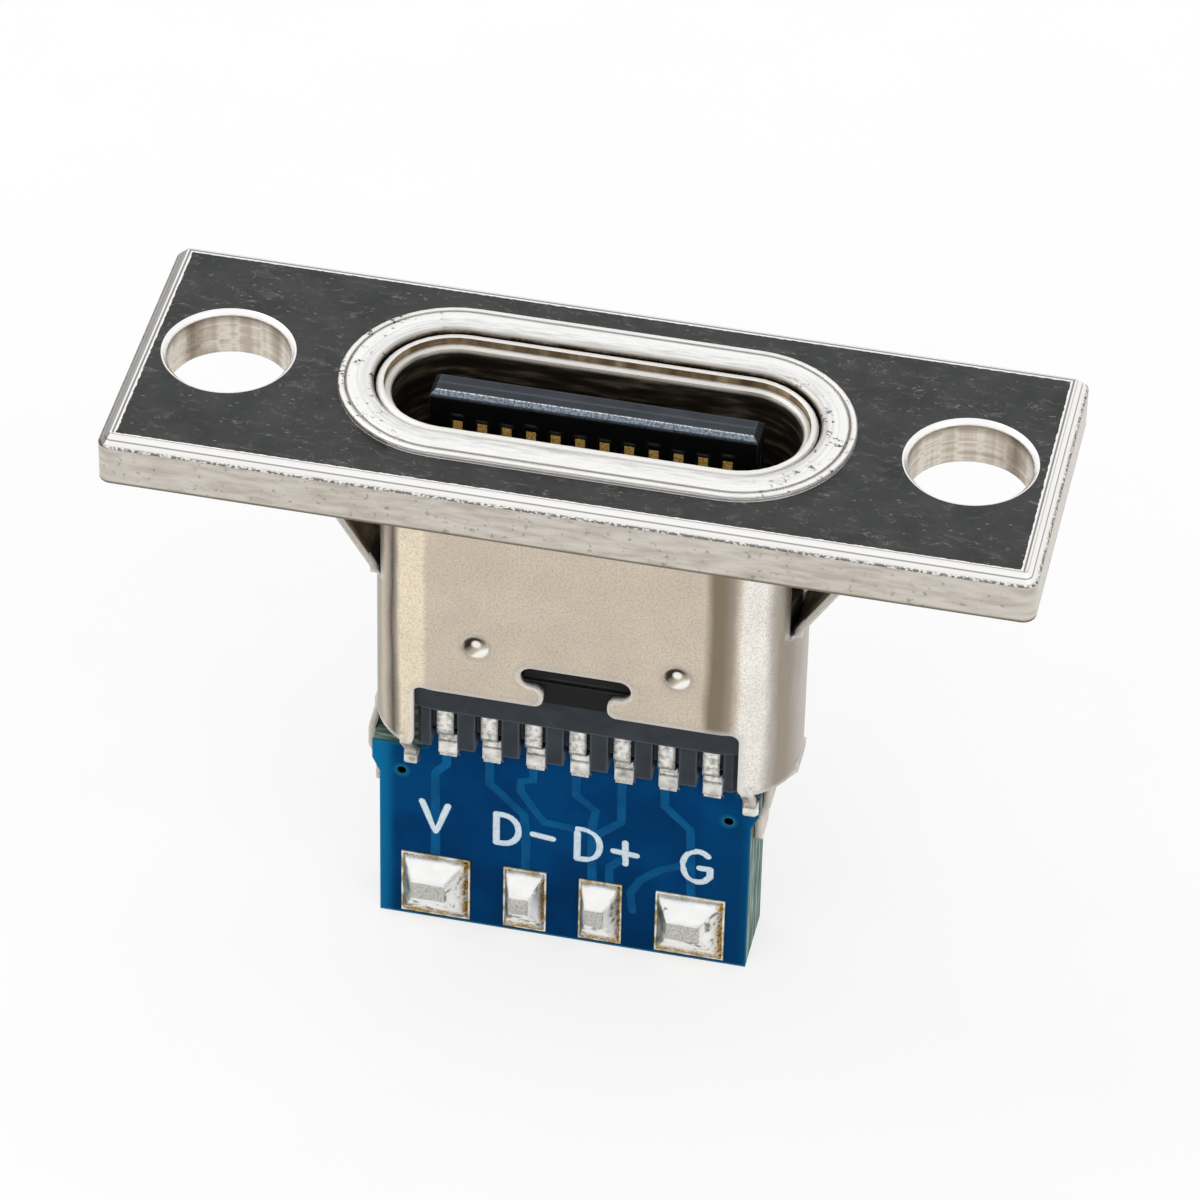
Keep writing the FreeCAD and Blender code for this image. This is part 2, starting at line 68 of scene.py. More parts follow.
# Adds one node. Feeds go to its enabled sockets in order, settings to the socket or property they name.
# A feed is a number, a hex colour, a node (its first enabled output) or one output of a node.
def add(tree, kind, *feeds, stops=(), **settings):
    made = tree.nodes.new("ShaderNode" + kind)
    named = []
    for key, value in settings.items():
        title = key.replace("_", " ")
        if title in made.inputs:
            named.append((made.inputs[title], value))
        else:
            setattr(made, key, value)
    sockets = [socket for socket in made.inputs if socket.enabled]
    for socket, feed in list(zip(sockets, feeds)) + named:
        if isinstance(feed, bpy.types.Node):
            feed = [output for output in feed.outputs if output.enabled][0]
        if isinstance(feed, bpy.types.NodeSocket):
            tree.links.new(feed, socket)
        else:
            socket.default_value = linear(feed) if isinstance(feed, str) else feed
    if stops:
        while len(made.color_ramp.elements) < len(stops):
            made.color_ramp.elements.new(0.5)
        for stop, (place, colour) in zip(made.color_ramp.elements, stops):
            stop.position = place
            stop.color = linear(colour) if isinstance(colour, str) else (colour, colour, colour, 1.0)
    return made


# Starts a finish. The object's place is in mm, and edge is 1.0 where the surface bends within edge_width.
def new_finish(name, edge_width):
    finish = bpy.data.materials.new(name)
    finish.use_nodes = True
    tree = finish.node_tree
    tree.nodes.clear()
    spot = add(tree, "TexCoord")
    place = add(tree, "VectorMath", spot.outputs["Object"], operation="SCALE", Scale=1 / MM)
    axes = add(tree, "SeparateXYZ", place)
    rounded = add(tree, "Bevel", samples=4, Radius=edge_width * MM)
    flat = add(tree, "NewGeometry")
    bend = add(tree, "VectorMath", rounded, flat.outputs["True Normal"], operation="DOT_PRODUCT")
    edge = add(tree, "MapRange", bend, 0.76, 0.985, 1.0, 0.0)
    facing = add(tree, "SeparateXYZ", flat.outputs["True Normal"])
    return finish, tree, place, rounded, edge, axes.outputs, facing.outputs


def close_finish(tree, **settings):
    shader = add(tree, "BsdfPrincipled", **settings)
    add(tree, "OutputMaterial", Surface=shader)


def wear(node, finish):
    node.data.materials.clear()
    node.data.materials.append(finish)


# Nickel plating over a cast and milled slab: the milled sides keep fine pits and drag lines, the
# bevels and rim carry painted highlights and painted shade lines, and the coated face shows hairline
# scratches and lint.
finish, tree, place, rounded, edge, (x, y, z), facing = new_finish("nickel_plating_and_dark_coat", 0.08)
# In mm: half the flat face, the bare border of its coat, the plate's back, the foot of the bevel, the
# screw holes, and the mouth with its rim.
half_length, half_width = 9.185, 3.06
coat_border = 0.09
plate_back = -1.10
bevel_foot = -0.235
hole_place = 7.55
hole_reach = 1.36
mouth_straight = 2.89
rim_inside, rim_outside = 1.63, 2.345


# Distance from the mouth's middle line, which makes a ring round the opening.
def from_mouth(tree, away_x, y):
    past_straight = add(tree, "Math", away_x, mouth_straight, operation="SUBTRACT")
    past_end = add(tree, "Math", past_straight, 0.0, operation="MAXIMUM")
    ring_spot = add(tree, "CombineXYZ", past_end, y)
    return add(tree, "VectorMath", ring_spot, operation="LENGTH")


clouds = add(tree, "TexNoise", place, Scale=1 / 1.3, Detail=5.0, Roughness=0.6)
smudge_place = add(tree, "Mapping", place, Scale=(1.0, 2.2, 1.0), Rotation=(0.0, 0.0, 0.25))
smudge = add(tree, "TexNoise", smudge_place, Scale=1 / 0.5, Detail=4.0, Distortion=0.8)
pit_noise = add(tree, "TexNoise", place, Scale=1 / 0.14, Detail=2.0)
drag_place = add(tree, "Mapping", place, Scale=(0.9, 1.0, 5.0))
drag = add(tree, "TexNoise", drag_place, Scale=1 / 0.6, Detail=4.0)

on_face = add(tree, "Math", z, 0.0, 0.008, operation="COMPARE")
away_x = add(tree, "Math", x, operation="ABSOLUTE")
away_y = add(tree, "Math", y, operation="ABSOLUTE")
to_end = add(tree, "Math", half_length, away_x, operation="SUBTRACT")
to_side = add(tree, "Math", half_width, away_y, operation="SUBTRACT")
to_edge = add(tree, "Math", to_end, to_side, operation="MINIMUM")
rub = add(tree, "Math", pit_noise, 0.05, operation="MULTIPLY")
unworn = add(tree, "Math", to_edge, rub, operation="GREATER_THAN")
to_back = add(tree, "Math", half_width, y, operation="SUBTRACT")
to_border = add(tree, "Math", to_end, to_back, operation="MINIMUM")
border_rub = add(tree, "Math", pit_noise, 0.06, coat_border, operation="MULTIPLY_ADD")
in_border = add(tree, "Math", to_border, border_rub, operation="GREATER_THAN")
coated = add(tree, "Math", on_face, unworn, operation="MULTIPLY")
coat = add(tree, "Math", coated, in_border, operation="MULTIPLY")
border_line = add(tree, "ValToRGB", to_border,
                  stops=[(0.03, 0.0), (0.045, 0.8), (0.07, 0.8), (0.085, 0.0)])
border_dark = add(tree, "Math", border_line, on_face, operation="MULTIPLY")

coat_tone = add(tree, "ValToRGB", clouds, stops=[(0.25, "#3b3c3c"), (0.5, "#464747"), (0.78, "#535352")])
smudge_share = add(tree, "MapRange", smudge, 0.56, 0.74, 0.0, 0.30)
smudged = add(tree, "Mix", smudge_share, coat_tone, "#7a7978", data_type="RGBA")
hair_place = add(tree, "Mapping", place, Rotation=(0.0, 0.0, 0.5), Scale=(1.6, 2.6, 1.0))
hair = add(tree, "TexNoise", hair_place, Scale=1.0, Detail=2.0, Distortion=1.5)
hair_line = add(tree, "ValToRGB", hair, stops=[(0.490, 0.0), (0.5, 1.0), (0.510, 0.0)])
hair_patch = add(tree, "MapRange", smudge, 0.44, 0.62, 0.0, 0.75)
hair_share = add(tree, "Math", hair_line, hair_patch, operation="MULTIPLY")
lint_place = add(tree, "Mapping", place, Rotation=(0.0, 0.0, 0.3), Scale=(1.0, 3.0, 1.0))
lint = add(tree, "TexVoronoi", lint_place, Scale=1 / 0.42, Randomness=1.0)
lint_dot = add(tree, "MapRange", lint, 0.05, 0.13, 0.8, 0.0)
marks = add(tree, "Math", hair_share, lint_dot, operation="MAXIMUM")
coat_colour = add(tree, "Mix", marks, smudged, "#8d8c89", data_type="RGBA")

side_tone = add(tree, "ValToRGB", drag, stops=[(0.35, "#bab1a5"), (0.5, "#c9c2b8"), (0.65, "#d3cdc4")])
pits = add(tree, "ValToRGB", pit_noise, stops=[(0.28, 0.55), (0.37, 0.0)])
pitted = add(tree, "Mix", pits, side_tone, "#7d7468", data_type="RGBA")
# A painted shadow line darkens the foot of the sides, where the plate sits over the shell.
shadow_line = add(tree, "MapRange", z, plate_back + 0.035, plate_back + 0.07, 0.75, 0.0)
shadow_lined = add(tree, "Mix", shadow_line, pitted, "#5f5240", data_type="RGBA")
drop = add(tree, "Math", z, 1 / bevel_foot, operation="MULTIPLY")
# The bevel's light and dark bands are painted highlights and painted shade lines.
bevel_light_and_shade_tone = add(tree, "ValToRGB", drop,
                 stops=[(0.0, "#fbfaf8"), (0.02, "#8d8070"), (0.09, "#f8f6f3"), (0.38, "#fdfdfc"),
                        (0.45, "#8c8177"), (0.53, "#fbfaf8"), (0.86, "#f1efec"), (1.0, "#d5d0c9")])
speck_place = add(tree, "Mapping", place, Scale=(0.8, 0.8, 1.4))
speck_noise = add(tree, "TexNoise", speck_place, Scale=1 / 0.055, Detail=3.0)
speck_break = add(tree, "MapRange", speck_noise, 0.44, 0.50, 0.0, 0.8)
speck_band = add(tree, "ValToRGB", drop, stops=[(0.76, 0.0), (0.88, 1.0), (0.97, 1.0), (1.0, 0.3)])
speck = add(tree, "Math", speck_break, speck_band, operation="MULTIPLY")
# Bevels facing left are painted darker as shade.
turned_left = add(tree, "Math", facing["X"], -0.4, operation="LESS_THAN")
left_shade = add(tree, "Math", turned_left, 0.75, operation="MULTIPLY")
shaded_bevel = add(tree, "Mix", left_shade, bevel_light_and_shade_tone, "#57524b", data_type="RGBA")
bevelled = add(tree, "Mix", speck, shaded_bevel, "#35302a", data_type="RGBA")
is_side = add(tree, "Math", z, bevel_foot, operation="LESS_THAN")
lined = add(tree, "Mix", border_dark, bevelled, "#5b544b", data_type="RGBA")
slab_colour = add(tree, "Mix", is_side, lined, shadow_lined, data_type="RGBA")

ring = from_mouth(tree, away_x, y)
in_ring = add(tree, "Math", ring, rim_outside, operation="LESS_THAN")
ring_share = add(tree, "MapRange", ring, rim_inside, rim_outside)
# The rim's bright bead is a painted highlight, and its dark lines at the inner border, the groove and the
# outer border are painted shade.
rim_light_and_shade_tone = add(tree, "ValToRGB", ring_share,
                stops=[(0.0, "#4a3a26"), (0.05, "#c3beb7"), (0.12, "#eeedeb"), (0.35, "#fafaf9"),
                       (0.72, "#fdfdfc"), (0.79, "#a39787"), (0.84, "#f7f5f2"), (0.95, "#fefefd"),
                       (1.0, "#8b7c6b")])
brush_spot = add(tree, "CombineXYZ", x, ring)
brush_place = add(tree, "Mapping", brush_spot, Scale=(0.8, 7.0, 1.0))
brush_noise = add(tree, "TexNoise", brush_place, Scale=1.6, Detail=6.0, Roughness=0.7)
inner_half = add(tree, "MapRange", ring_share, 0.25, 0.65, 0.48, 0.12)
brush_dark = add(tree, "MapRange", brush_noise, 0.38, 0.56, 1.0, 0.0)
brush_share = add(tree, "Math", brush_dark, inner_half, operation="MULTIPLY")
brushed = add(tree, "Mix", brush_share, rim_light_and_shade_tone, "#a8a5a0", data_type="RGBA")
gouge_place = add(tree, "Mapping", place, Scale=(1.0, 1.6, 1.0), Rotation=(0.0, 0.0, 0.6))
gouge_noise = add(tree, "TexNoise", gouge_place, Scale=1 / 0.34, Detail=5.0, Roughness=0.8)
gouge_line = add(tree, "ValToRGB", gouge_noise, stops=[(0.395, 1.0), (0.42, 0.0)])
at_end = add(tree, "MapRange", away_x, 3.3, 4.1, 0.0, 0.9)
gouge = add(tree, "Math", gouge_line, at_end, operation="MULTIPLY")
gouged = add(tree, "Mix", gouge, brushed, "#2c2a28", data_type="RGBA")
# The opening's wall below the rim is painted dark brown as shade in the gap round the shell.
below_rim = add(tree, "MapRange", z, -0.30, -0.06, 1.0, 0.0)
in_gap = add(tree, "Math", ring, rim_inside + 0.02, operation="LESS_THAN")
gap_shade = add(tree, "Math", below_rim, in_gap, operation="MULTIPLY")
rim_colour = add(tree, "Mix", gap_shade, gouged, "#2a1f10", data_type="RGBA")
metal_colour = add(tree, "Mix", in_ring, slab_colour, rim_colour, data_type="RGBA")

hole_x = add(tree, "Math", away_x, hole_place, operation="SUBTRACT")
hole_spot = add(tree, "CombineXYZ", hole_x, y)
hole_distance = add(tree, "VectorMath", hole_spot, operation="LENGTH")
in_bore = add(tree, "Math", hole_distance, hole_reach, operation="LESS_THAN")
off_bore = add(tree, "Math", 1.0, in_bore, operation="SUBTRACT")
coat = add(tree, "Math", coat, off_bore, operation="MULTIPLY")
# Turning marks in the bores, with vertical painted reflection streaks over them.
turn_place = add(tree, "Mapping", place, Scale=(0.4, 0.4, 14.0))
turn_lines = add(tree, "TexNoise", turn_place, Scale=1.0, Detail=5.0)
streak_place = add(tree, "Mapping", place, Scale=(1.7, 1.7, 0.08))
reflection_streaks = add(tree, "TexNoise", streak_place, Scale=1.0, Detail=4.0)
bore_mix = add(tree, "Math", turn_lines, 0.35, reflection_streaks, operation="MULTIPLY_ADD")
bore_tone = add(tree, "ValToRGB", bore_mix,
                stops=[(0.45, "#8d8173"), (0.62, "#bfb5a7"), (0.70, "#ded6ca"), (0.82, "#b8ad9f")])
# A painted highlight rings the top of each bore, with a painted shade line just below it.
bore_depth = add(tree, "MapRange", z, 0.0, -0.40)
bore_rim_highlight = add(tree, "ValToRGB", bore_depth, stops=[(0.20, 1.0), (0.25, 0.0)])
bore_shade_line = add(tree, "ValToRGB", bore_depth,
                stops=[(0.22, 0.0), (0.27, 0.75), (0.42, 0.45), (0.75, 0.0)])
bore_shaded = add(tree, "Mix", bore_shade_line, bore_tone, "#5f4e3a", data_type="RGBA")
bore_ringed = add(tree, "Mix", bore_rim_highlight, bore_shaded, "#fefdfc", data_type="RGBA")
bored = add(tree, "Mix", in_bore, metal_colour, bore_ringed, data_type="RGBA")
# Edges that bend within edge_width on the upper part of the plate get a painted highlight.
upper = add(tree, "MapRange", z, -0.17, -0.13, 0.0, 0.8)
highlight_place = add(tree, "Math", upper, off_bore, operation="MULTIPLY")
painted_highlight_share = add(tree, "Math", edge, highlight_place, operation="MULTIPLY")
with_painted_highlight = add(tree, "Mix", painted_highlight_share, bored, "#fbfaf8", data_type="RGBA")
shown_metal = add(tree, "Mix", in_ring, with_painted_highlight, metal_colour, data_type="RGBA")
colour = add(tree, "Mix", coat, shown_metal, coat_colour, data_type="RGBA")
rough_metal = add(tree, "MapRange", drag, 0.3, 0.7, 0.24, 0.40)
rough_coat = add(tree, "MapRange", clouds, 0.3, 0.7, 0.34, 0.46)
rough = add(tree, "Mix", coat, rough_metal, rough_coat, data_type="FLOAT")
relief = add(tree, "Math", drag, 0.08, pit_noise, operation="MULTIPLY_ADD")
not_coat = add(tree, "Math", 1.0, coat, operation="SUBTRACT")
metal_relief = add(tree, "Math", relief, not_coat, operation="MULTIPLY")
bump = add(tree, "Bump", Strength=0.30, Distance=0.02 * MM, Height=metal_relief, Normal=rounded)
close_finish(tree, Metallic=1.0, Base_Color=colour, Roughness=rough, Normal=bump)
wear(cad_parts["flange_plate"], finish)


# Shells: two drawn tubes of stainless strip, matte nickel plated and cut into legs, ears and ground
# legs. The blasted flats are sandy, and light and dark reflection bands are painted into the bends.
finish, tree, place, rounded, edge, (x, y, z), facing = new_finish("drawn_matte_nickel_strip", 0.26)
# In mm: the tube's inner wall, the foot of the lip, the ends of tube and legs, half the width between
# the ears, and the dimples.
shell_inside = 1.42
lip_foot = -0.14
tube_back = -6.78
shell_back = -8.55
half_shell = 4.50
dimple_x, dimple_z = 2.085, -5.46
# The blasted grain is really about 0.02 mm, and is drawn at 0.045 mm so that it shows.
sand = add(tree, "TexNoise", place, Scale=1 / 0.045, Detail=3.0, Roughness=0.7)
haze = add(tree, "TexNoise", place, Scale=1 / 0.9, Detail=4.0)
wobble_place = add(tree, "Mapping", place, Scale=(2.0, 2.0, 0.5))
wobble = add(tree, "TexNoise", wobble_place, Scale=1.0, Detail=3.0)
band_shift = add(tree, "MapRange", wobble, 0.3, 0.7, -0.04, 0.04)
band_place = add(tree, "Math", x, band_shift, operation="ADD")
across = add(tree, "MapRange", band_place, -half_shell, half_shell)
# Painted reflection bands along the tube, as (mm from its middle, painted tone there).
plain, satin, pale, shade = "#d9ccbb", "#a3998c", "#c4bfb7", "#857865"
painted_dark_reflection, painted_highlight, painted_bright_reflection = "#463e31", "#f8ead1", "#fffbf4"
reflection_bands = [(-4.47, pale), (-4.26, satin), (-4.13, plain), (-4.0, satin), (-3.9, painted_dark_reflection), (-3.8, satin),
         (-3.7, painted_highlight), (-3.2, painted_highlight), (-3.1, plain), (2.6, plain), (2.8, shade), (3.0, shade),
         (3.18, satin), (3.3, plain), (3.4, painted_bright_reflection), (3.8, painted_bright_reflection), (3.95, pale), (4.1, satin),
         (4.25, satin), (4.47, pale)]
reflection_band_tone = add(tree, "ValToRGB", across, stops=[(0.5 + at / half_shell / 2, code) for at, code in reflection_bands])
strap_tone = add(tree, "ValToRGB", haze, stops=[(0.3, "#bdb2a1"), (0.5, "#d3c7b6"), (0.7, "#e2d8c9")])
on_tube = add(tree, "MapRange", z, shell_back, shell_back + 0.1)
tube_tone = add(tree, "Mix", on_tube, strap_tone, reflection_band_tone, data_type="RGBA")
haze_share = add(tree, "MapRange", haze, 0.35, 0.65, 0.12, 0.0)
hazed = add(tree, "Mix", haze_share, tube_tone, "#8d8171", data_type="RGBA")
sand_share = add(tree, "MapRange", sand, 0.38, 0.56, 0.36, 0.0)
sanded = add(tree, "Mix", sand_share, hazed, "#8a7d6c", data_type="RGBA")
away_x = add(tree, "Math", x, operation="ABSOLUTE")
side = add(tree, "Math", x, operation="SIGN")
ring = from_mouth(tree, away_x, y)
# Inside the tube, below the lip, the wall is painted near black as shade, with a faint painted sheen and
# fine scratch lines.
inside = add(tree, "MapRange", ring, shell_inside, shell_inside + 0.03, 1.0, 0.0)
deep = add(tree, "MapRange", z, -0.24, -0.15, 1.0, 0.0)
in_tube = add(tree, "Math", z, tube_back, operation="GREATER_THAN")
deep_in_tube = add(tree, "Math", deep, in_tube, operation="MULTIPLY")
interior_shade = add(tree, "Math", inside, deep_in_tube, operation="MULTIPLY")
sheen_place = add(tree, "Mapping", place, Scale=(0.9, 0.9, 6.0))
sheen_and_scratch_lines = add(tree, "TexNoise", sheen_place, Scale=1.0, Detail=4.0)
interior_shade_tone = add(tree, "ValToRGB", sheen_and_scratch_lines,
                 stops=[(0.42, "#211e1a"), (0.54, "#3a352d"), (0.66, "#6d6454")])
# Each dimple gets a painted shade crescent on its upper left and a painted highlight in its middle and on
# its lower right.
from_dimple = add(tree, "Math", away_x, dimple_x, operation="SUBTRACT")
dimple_across = add(tree, "Math", from_dimple, side, operation="MULTIPLY")
dimple_up = add(tree, "Math", z, dimple_z, operation="SUBTRACT")
dimple_spot = add(tree, "CombineXYZ", dimple_across, 0.0, dimple_up)
dimple_far = add(tree, "VectorMath", dimple_spot, operation="LENGTH")
dimple_lean = add(tree, "VectorMath", dimple_spot, (-0.6, 0.0, 0.8), operation="DOT_PRODUCT")
dimple_bowl = add(tree, "ValToRGB", dimple_far,
                  stops=[(0.07, 0.0), (0.11, 1.0), (0.25, 1.0), (0.29, 0.0)])
dimple_upper = add(tree, "MapRange", dimple_lean, -0.12, 0.06, 0.0, 1.0)
dimple_shade = add(tree, "Math", dimple_bowl, dimple_upper, operation="MULTIPLY")
dimpled = add(tree, "Mix", dimple_shade, sanded, "#30271b", data_type="RGBA")
dimple_lower = add(tree, "MapRange", dimple_lean, -0.18, -0.12, 1.0, 0.0)
dimple_lit = add(tree, "Math", dimple_bowl, dimple_lower, operation="MULTIPLY")
dimple_flat = add(tree, "MapRange", dimple_far, 0.06, 0.12, 0.9, 0.0)
dimple_highlight = add(tree, "Math", dimple_lit, dimple_flat, operation="MAXIMUM")
# The lip's top and every bending edge get a painted highlight, with a painted shade line beside the
# edges.
on_lip = add(tree, "Math", facing["Z"], 0.5, operation="GREATER_THAN")
by_lip = add(tree, "Math", z, lip_foot, operation="GREATER_THAN")
lip_highlight = add(tree, "Math", on_lip, by_lip, operation="MULTIPLY")
edge_highlight = add(tree, "MapRange", edge, 0.35, 0.60, 0.0, 0.95)
edge_shade = add(tree, "ValToRGB", edge, stops=[(0.04, 0.0), (0.14, 0.60), (0.30, 0.60), (0.42, 0.0)])
edged = add(tree, "Mix", edge_shade, dimpled, "#5e513f", data_type="RGBA")
lip_and_edge_highlight = add(tree, "Math", lip_highlight, edge_highlight, operation="MAXIMUM")
painted_highlight_share = add(tree, "Math", lip_and_edge_highlight, dimple_highlight, operation="MAXIMUM")
with_painted_highlight = add(tree, "Mix", painted_highlight_share, edged, "#fffdf8", data_type="RGBA")
# The wall just under the plate, the lip's inner wall and the ears' hollows are painted brown as shade.
under_plate = add(tree, "MapRange", z, plate_back - 0.32, plate_back - 0.14, 0.0, 0.55)
off_lip = add(tree, "Math", z, -0.5, operation="LESS_THAN")
under_plate_shade = add(tree, "Math", under_plate, off_lip, operation="MULTIPLY")
wall_side = add(tree, "Math", facing["Z"], 0.3, operation="LESS_THAN")
wall_in = add(tree, "Math", ring, shell_inside + 0.04, operation="LESS_THAN")
wall_step = add(tree, "Math", wall_side, wall_in, operation="MULTIPLY")
lip_wall = add(tree, "Math", wall_step, by_lip, operation="MULTIPLY")
ear_out = add(tree, "Math", away_x, half_shell, operation="GREATER_THAN")
ear_up = add(tree, "Math", facing["Z"], 0.2, operation="GREATER_THAN")
ear_hollow = add(tree, "Math", ear_out, ear_up, operation="MULTIPLY")
hollow_shade_place = add(tree, "Math", lip_wall, ear_hollow, operation="MAXIMUM")
brown_shade_share = add(tree, "Math", hollow_shade_place, under_plate_shade, operation="MAXIMUM")
brown_shade_tone = add(tree, "ValToRGB", wobble, stops=[(0.35, "#5a4936"), (0.5, "#7d6a51"), (0.65, "#a8947a")])
brown_shaded = add(tree, "Mix", brown_shade_share, with_painted_highlight, brown_shade_tone, data_type="RGBA")
sheet_colour = add(tree, "Mix", interior_shade, brown_shaded, interior_shade_tone, data_type="RGBA")
sheet_rough = add(tree, "MapRange", sand, 0.3, 0.7, 0.34, 0.48)
sheet_bump = add(tree, "Bump", Strength=0.25, Distance=0.008 * MM, Height=sand, Normal=rounded)
# Where shade is painted, the metal is made less metallic so that the painted colour shows.
painted_shade_places = add(tree, "Math", ear_hollow, interior_shade, operation="MAXIMUM")
sheet_metal = add(tree, "MapRange", painted_shade_places, 0.0, 1.0, 1.0, 0.4)
close_finish(tree, Base_Color=sheet_colour, Metallic=sheet_metal, Roughness=sheet_rough,
             Normal=sheet_bump)
for name in ("outer_shell", "inner_shell"):
    wear(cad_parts[name], finish)


# Mid plate and shield pads: bare rolled stainless strip, moulded into the tongue and laid on its root.
# The strip is smoother and greyer than the plated shells.
finish, tree, place, rounded, *_ = new_finish("rolled_stainless_strip", 0.04)
roll_place = add(tree, "Mapping", place, Scale=(0.4, 8.0, 12.0))
roll_lines = add(tree, "TexNoise", roll_place, Scale=1.0, Detail=4.0)
roll_tone = add(tree, "ValToRGB", roll_lines, stops=[(0.3, "#9d9a95"), (0.7, "#c4c0b9")])
roll_bump = add(tree, "Bump", Strength=0.15, Distance=0.01 * MM, Height=roll_lines, Normal=rounded)
close_finish(tree, Metallic=1.0, Roughness=0.32, Base_Color=roll_tone, Normal=roll_bump)
for name in ("mid_plate", "shield_pad_front", "shield_pad_back"):
    wear(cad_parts[name], finish)


# Insulator: black liquid-crystal polymer, moulded in two shots round the contacts. The mould leaves a
# fine spark-eroded texture and thin swirls where the melt flowed, and edges get a pale painted highlight.
finish, tree, place, rounded, edge, (_, _, z), facing = new_finish("moulded_black_polymer", 0.08)
# The spark-eroded grain is really about 0.02 mm, and is drawn at 0.04 mm so that it shows.
spark = add(tree, "TexNoise", place, Scale=1 / 0.04, Detail=2.0)
flow = add(tree, "TexNoise", place, Scale=1 / 0.9, Detail=4.0, Distortion=1.2)
moulded_tone = add(tree, "ValToRGB", flow, stops=[(0.3, "#262b31"), (0.7, "#353b42")])
# The tongue's front chamfer by the mouth is painted as a highlight band, dark at its foot and brightest
# at its top.
by_mouth = add(tree, "Math", z, lip_foot, operation="GREATER_THAN")
tip_up = add(tree, "Math", facing["Z"], 0.5, operation="GREATER_THAN")
tip_side = add(tree, "Math", facing["Y"], operation="ABSOLUTE")
tip_out = add(tree, "Math", tip_side, 0.5, operation="GREATER_THAN")
tip_slope = add(tree, "Math", tip_up, tip_out, operation="MULTIPLY")
painted_highlight = add(tree, "Math", tip_slope, by_mouth, operation="MULTIPLY")
chamfer_height = add(tree, "MapRange", z, -0.10, 0.02)
chamfer_highlight_band = add(tree, "ValToRGB", chamfer_height,
               stops=[(0.0, "#101215"), (0.22, "#2c333b"), (0.34, "#94a0ad"), (0.84, "#94a0ad"),
                      (0.90, "#f0f5fa"), (1.0, "#f0f5fa")])
highlight_grain = add(tree, "MapRange", spark, 0.40, 0.60, 0.75, 0.0)
chamfer_highlight_tone = add(tree, "Mix", highlight_grain, chamfer_highlight_band, "#3f4852", data_type="RGBA")
# Inside the shell the polymer is painted near black as shade, except the flat top by the mouth.
flat_top = add(tree, "Math", facing["Z"], 0.95, operation="GREATER_THAN")
in_shell = add(tree, "Math", z, tube_back - 0.02, operation="GREATER_THAN")
stays_pale = add(tree, "Math", flat_top, by_mouth, operation="MULTIPLY")
in_shell_shade = add(tree, "Math", in_shell, stays_pale, operation="SUBTRACT", use_clamp=True)
in_shell_shaded = add(tree, "Mix", in_shell_shade, moulded_tone, "#0c0c0c", data_type="RGBA")
tip_tone = add(tree, "Mix", painted_highlight, in_shell_shaded, chamfer_highlight_tone, data_type="RGBA")
# Edges get a pale painted highlight, weaker where shade is painted inside the shell.
outer_edge = add(tree, "MapRange", in_shell_shade, 0.0, 1.0, 0.42, 0.12)
edge_highlight_share = add(tree, "Math", edge, outer_edge, operation="MULTIPLY")
moulded_colour = add(tree, "Mix", edge_highlight_share, tip_tone, "#8d98a4", data_type="RGBA")
moulded_rough = add(tree, "MapRange", flow, 0.3, 0.7, 0.36, 0.52)
moulded_bump = add(tree, "Bump", Strength=0.3, Distance=0.008 * MM, Height=spark, Normal=rounded)
close_finish(tree, IOR=1.6, Specular_IOR_Level=0.12, Base_Color=moulded_colour, Roughness=moulded_rough,
             Normal=moulded_bump)
for name in ("housing_front", "housing_back"):
    wear(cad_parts[name], finish)


# Contacts: stamped copper alloy strips, gold plated where the plug touches them and tin plated at the
# tails. The change lies inside the moulding, 6.6 mm behind the plate's face.
finish, tree, place, rounded, edge, (x, _, z), facing = new_finish("gold_and_tin_plated_contacts", 0.16)
# In mm: where gold turns to tin, where the tips are covered, the run of the tails, and the strips.
plating_change = -6.6
tip_cover = -0.63
tail_foot, tail_top = -9.13, -7.47
contact_pitch, half_contact = 0.5, 0.10
# The rolled grain of the strip is really about 0.01 mm, and is drawn at 0.06 mm so that it shows.
stamped = add(tree, "TexNoise", place, Scale=1 / 0.06, Detail=3.0)
gold_tone = add(tree, "ValToRGB", stamped, stops=[(0.36, "#f0a838"), (0.5, "#ffc860"), (0.62, "#ffe8b0")])
dull = add(tree, "TexNoise", place, Scale=1 / 0.12, Detail=2.0)
tin_tone = add(tree, "ValToRGB", dull, stops=[(0.34, "#a5a29a"), (0.46, "#cfcdc6"), (0.60, "#efede8")])
# The tails get a painted shade line at their bend, painted shade on their cut sides and a painted shade
# outline at their edges.
tail_height = add(tree, "MapRange", z, tail_foot, tail_top)
crease_shade = add(tree, "ValToRGB", tail_height, stops=[(0.40, 0.0), (0.45, 1.0), (0.50, 1.0), (0.55, 0.0)])
cut_side = add(tree, "Math", facing["X"], operation="ABSOLUTE")
is_cut = add(tree, "Math", cut_side, 0.5, operation="GREATER_THAN")
cut_side_shade = add(tree, "Math", is_cut, 0.85, operation="MULTIPLY")
tail_shade = add(tree, "Math", crease_shade, cut_side_shade, operation="MAXIMUM")
shade_outline = add(tree, "ValToRGB", edge, stops=[(0.04, 0.0), (0.14, 0.85), (0.30, 0.85), (0.42, 0.0)])
tail_shade_lines = add(tree, "Math", tail_shade, shade_outline, operation="MAXIMUM")
tail_shaded = add(tree, "Mix", tail_shade_lines, tin_tone, "#2b2824", data_type="RGBA")
is_tail = add(tree, "Math", z, plating_change, operation="LESS_THAN")
is_tip = add(tree, "Math", z, tip_cover, operation="GREATER_THAN")
pitches = add(tree, "Math", x, 1 / contact_pitch, operation="MULTIPLY")
in_pitch = add(tree, "Math", pitches, operation="FRACT")
off_middle = add(tree, "Math", in_pitch, 0.5, operation="SUBTRACT")
from_middle = add(tree, "Math", off_middle, operation="ABSOLUTE")
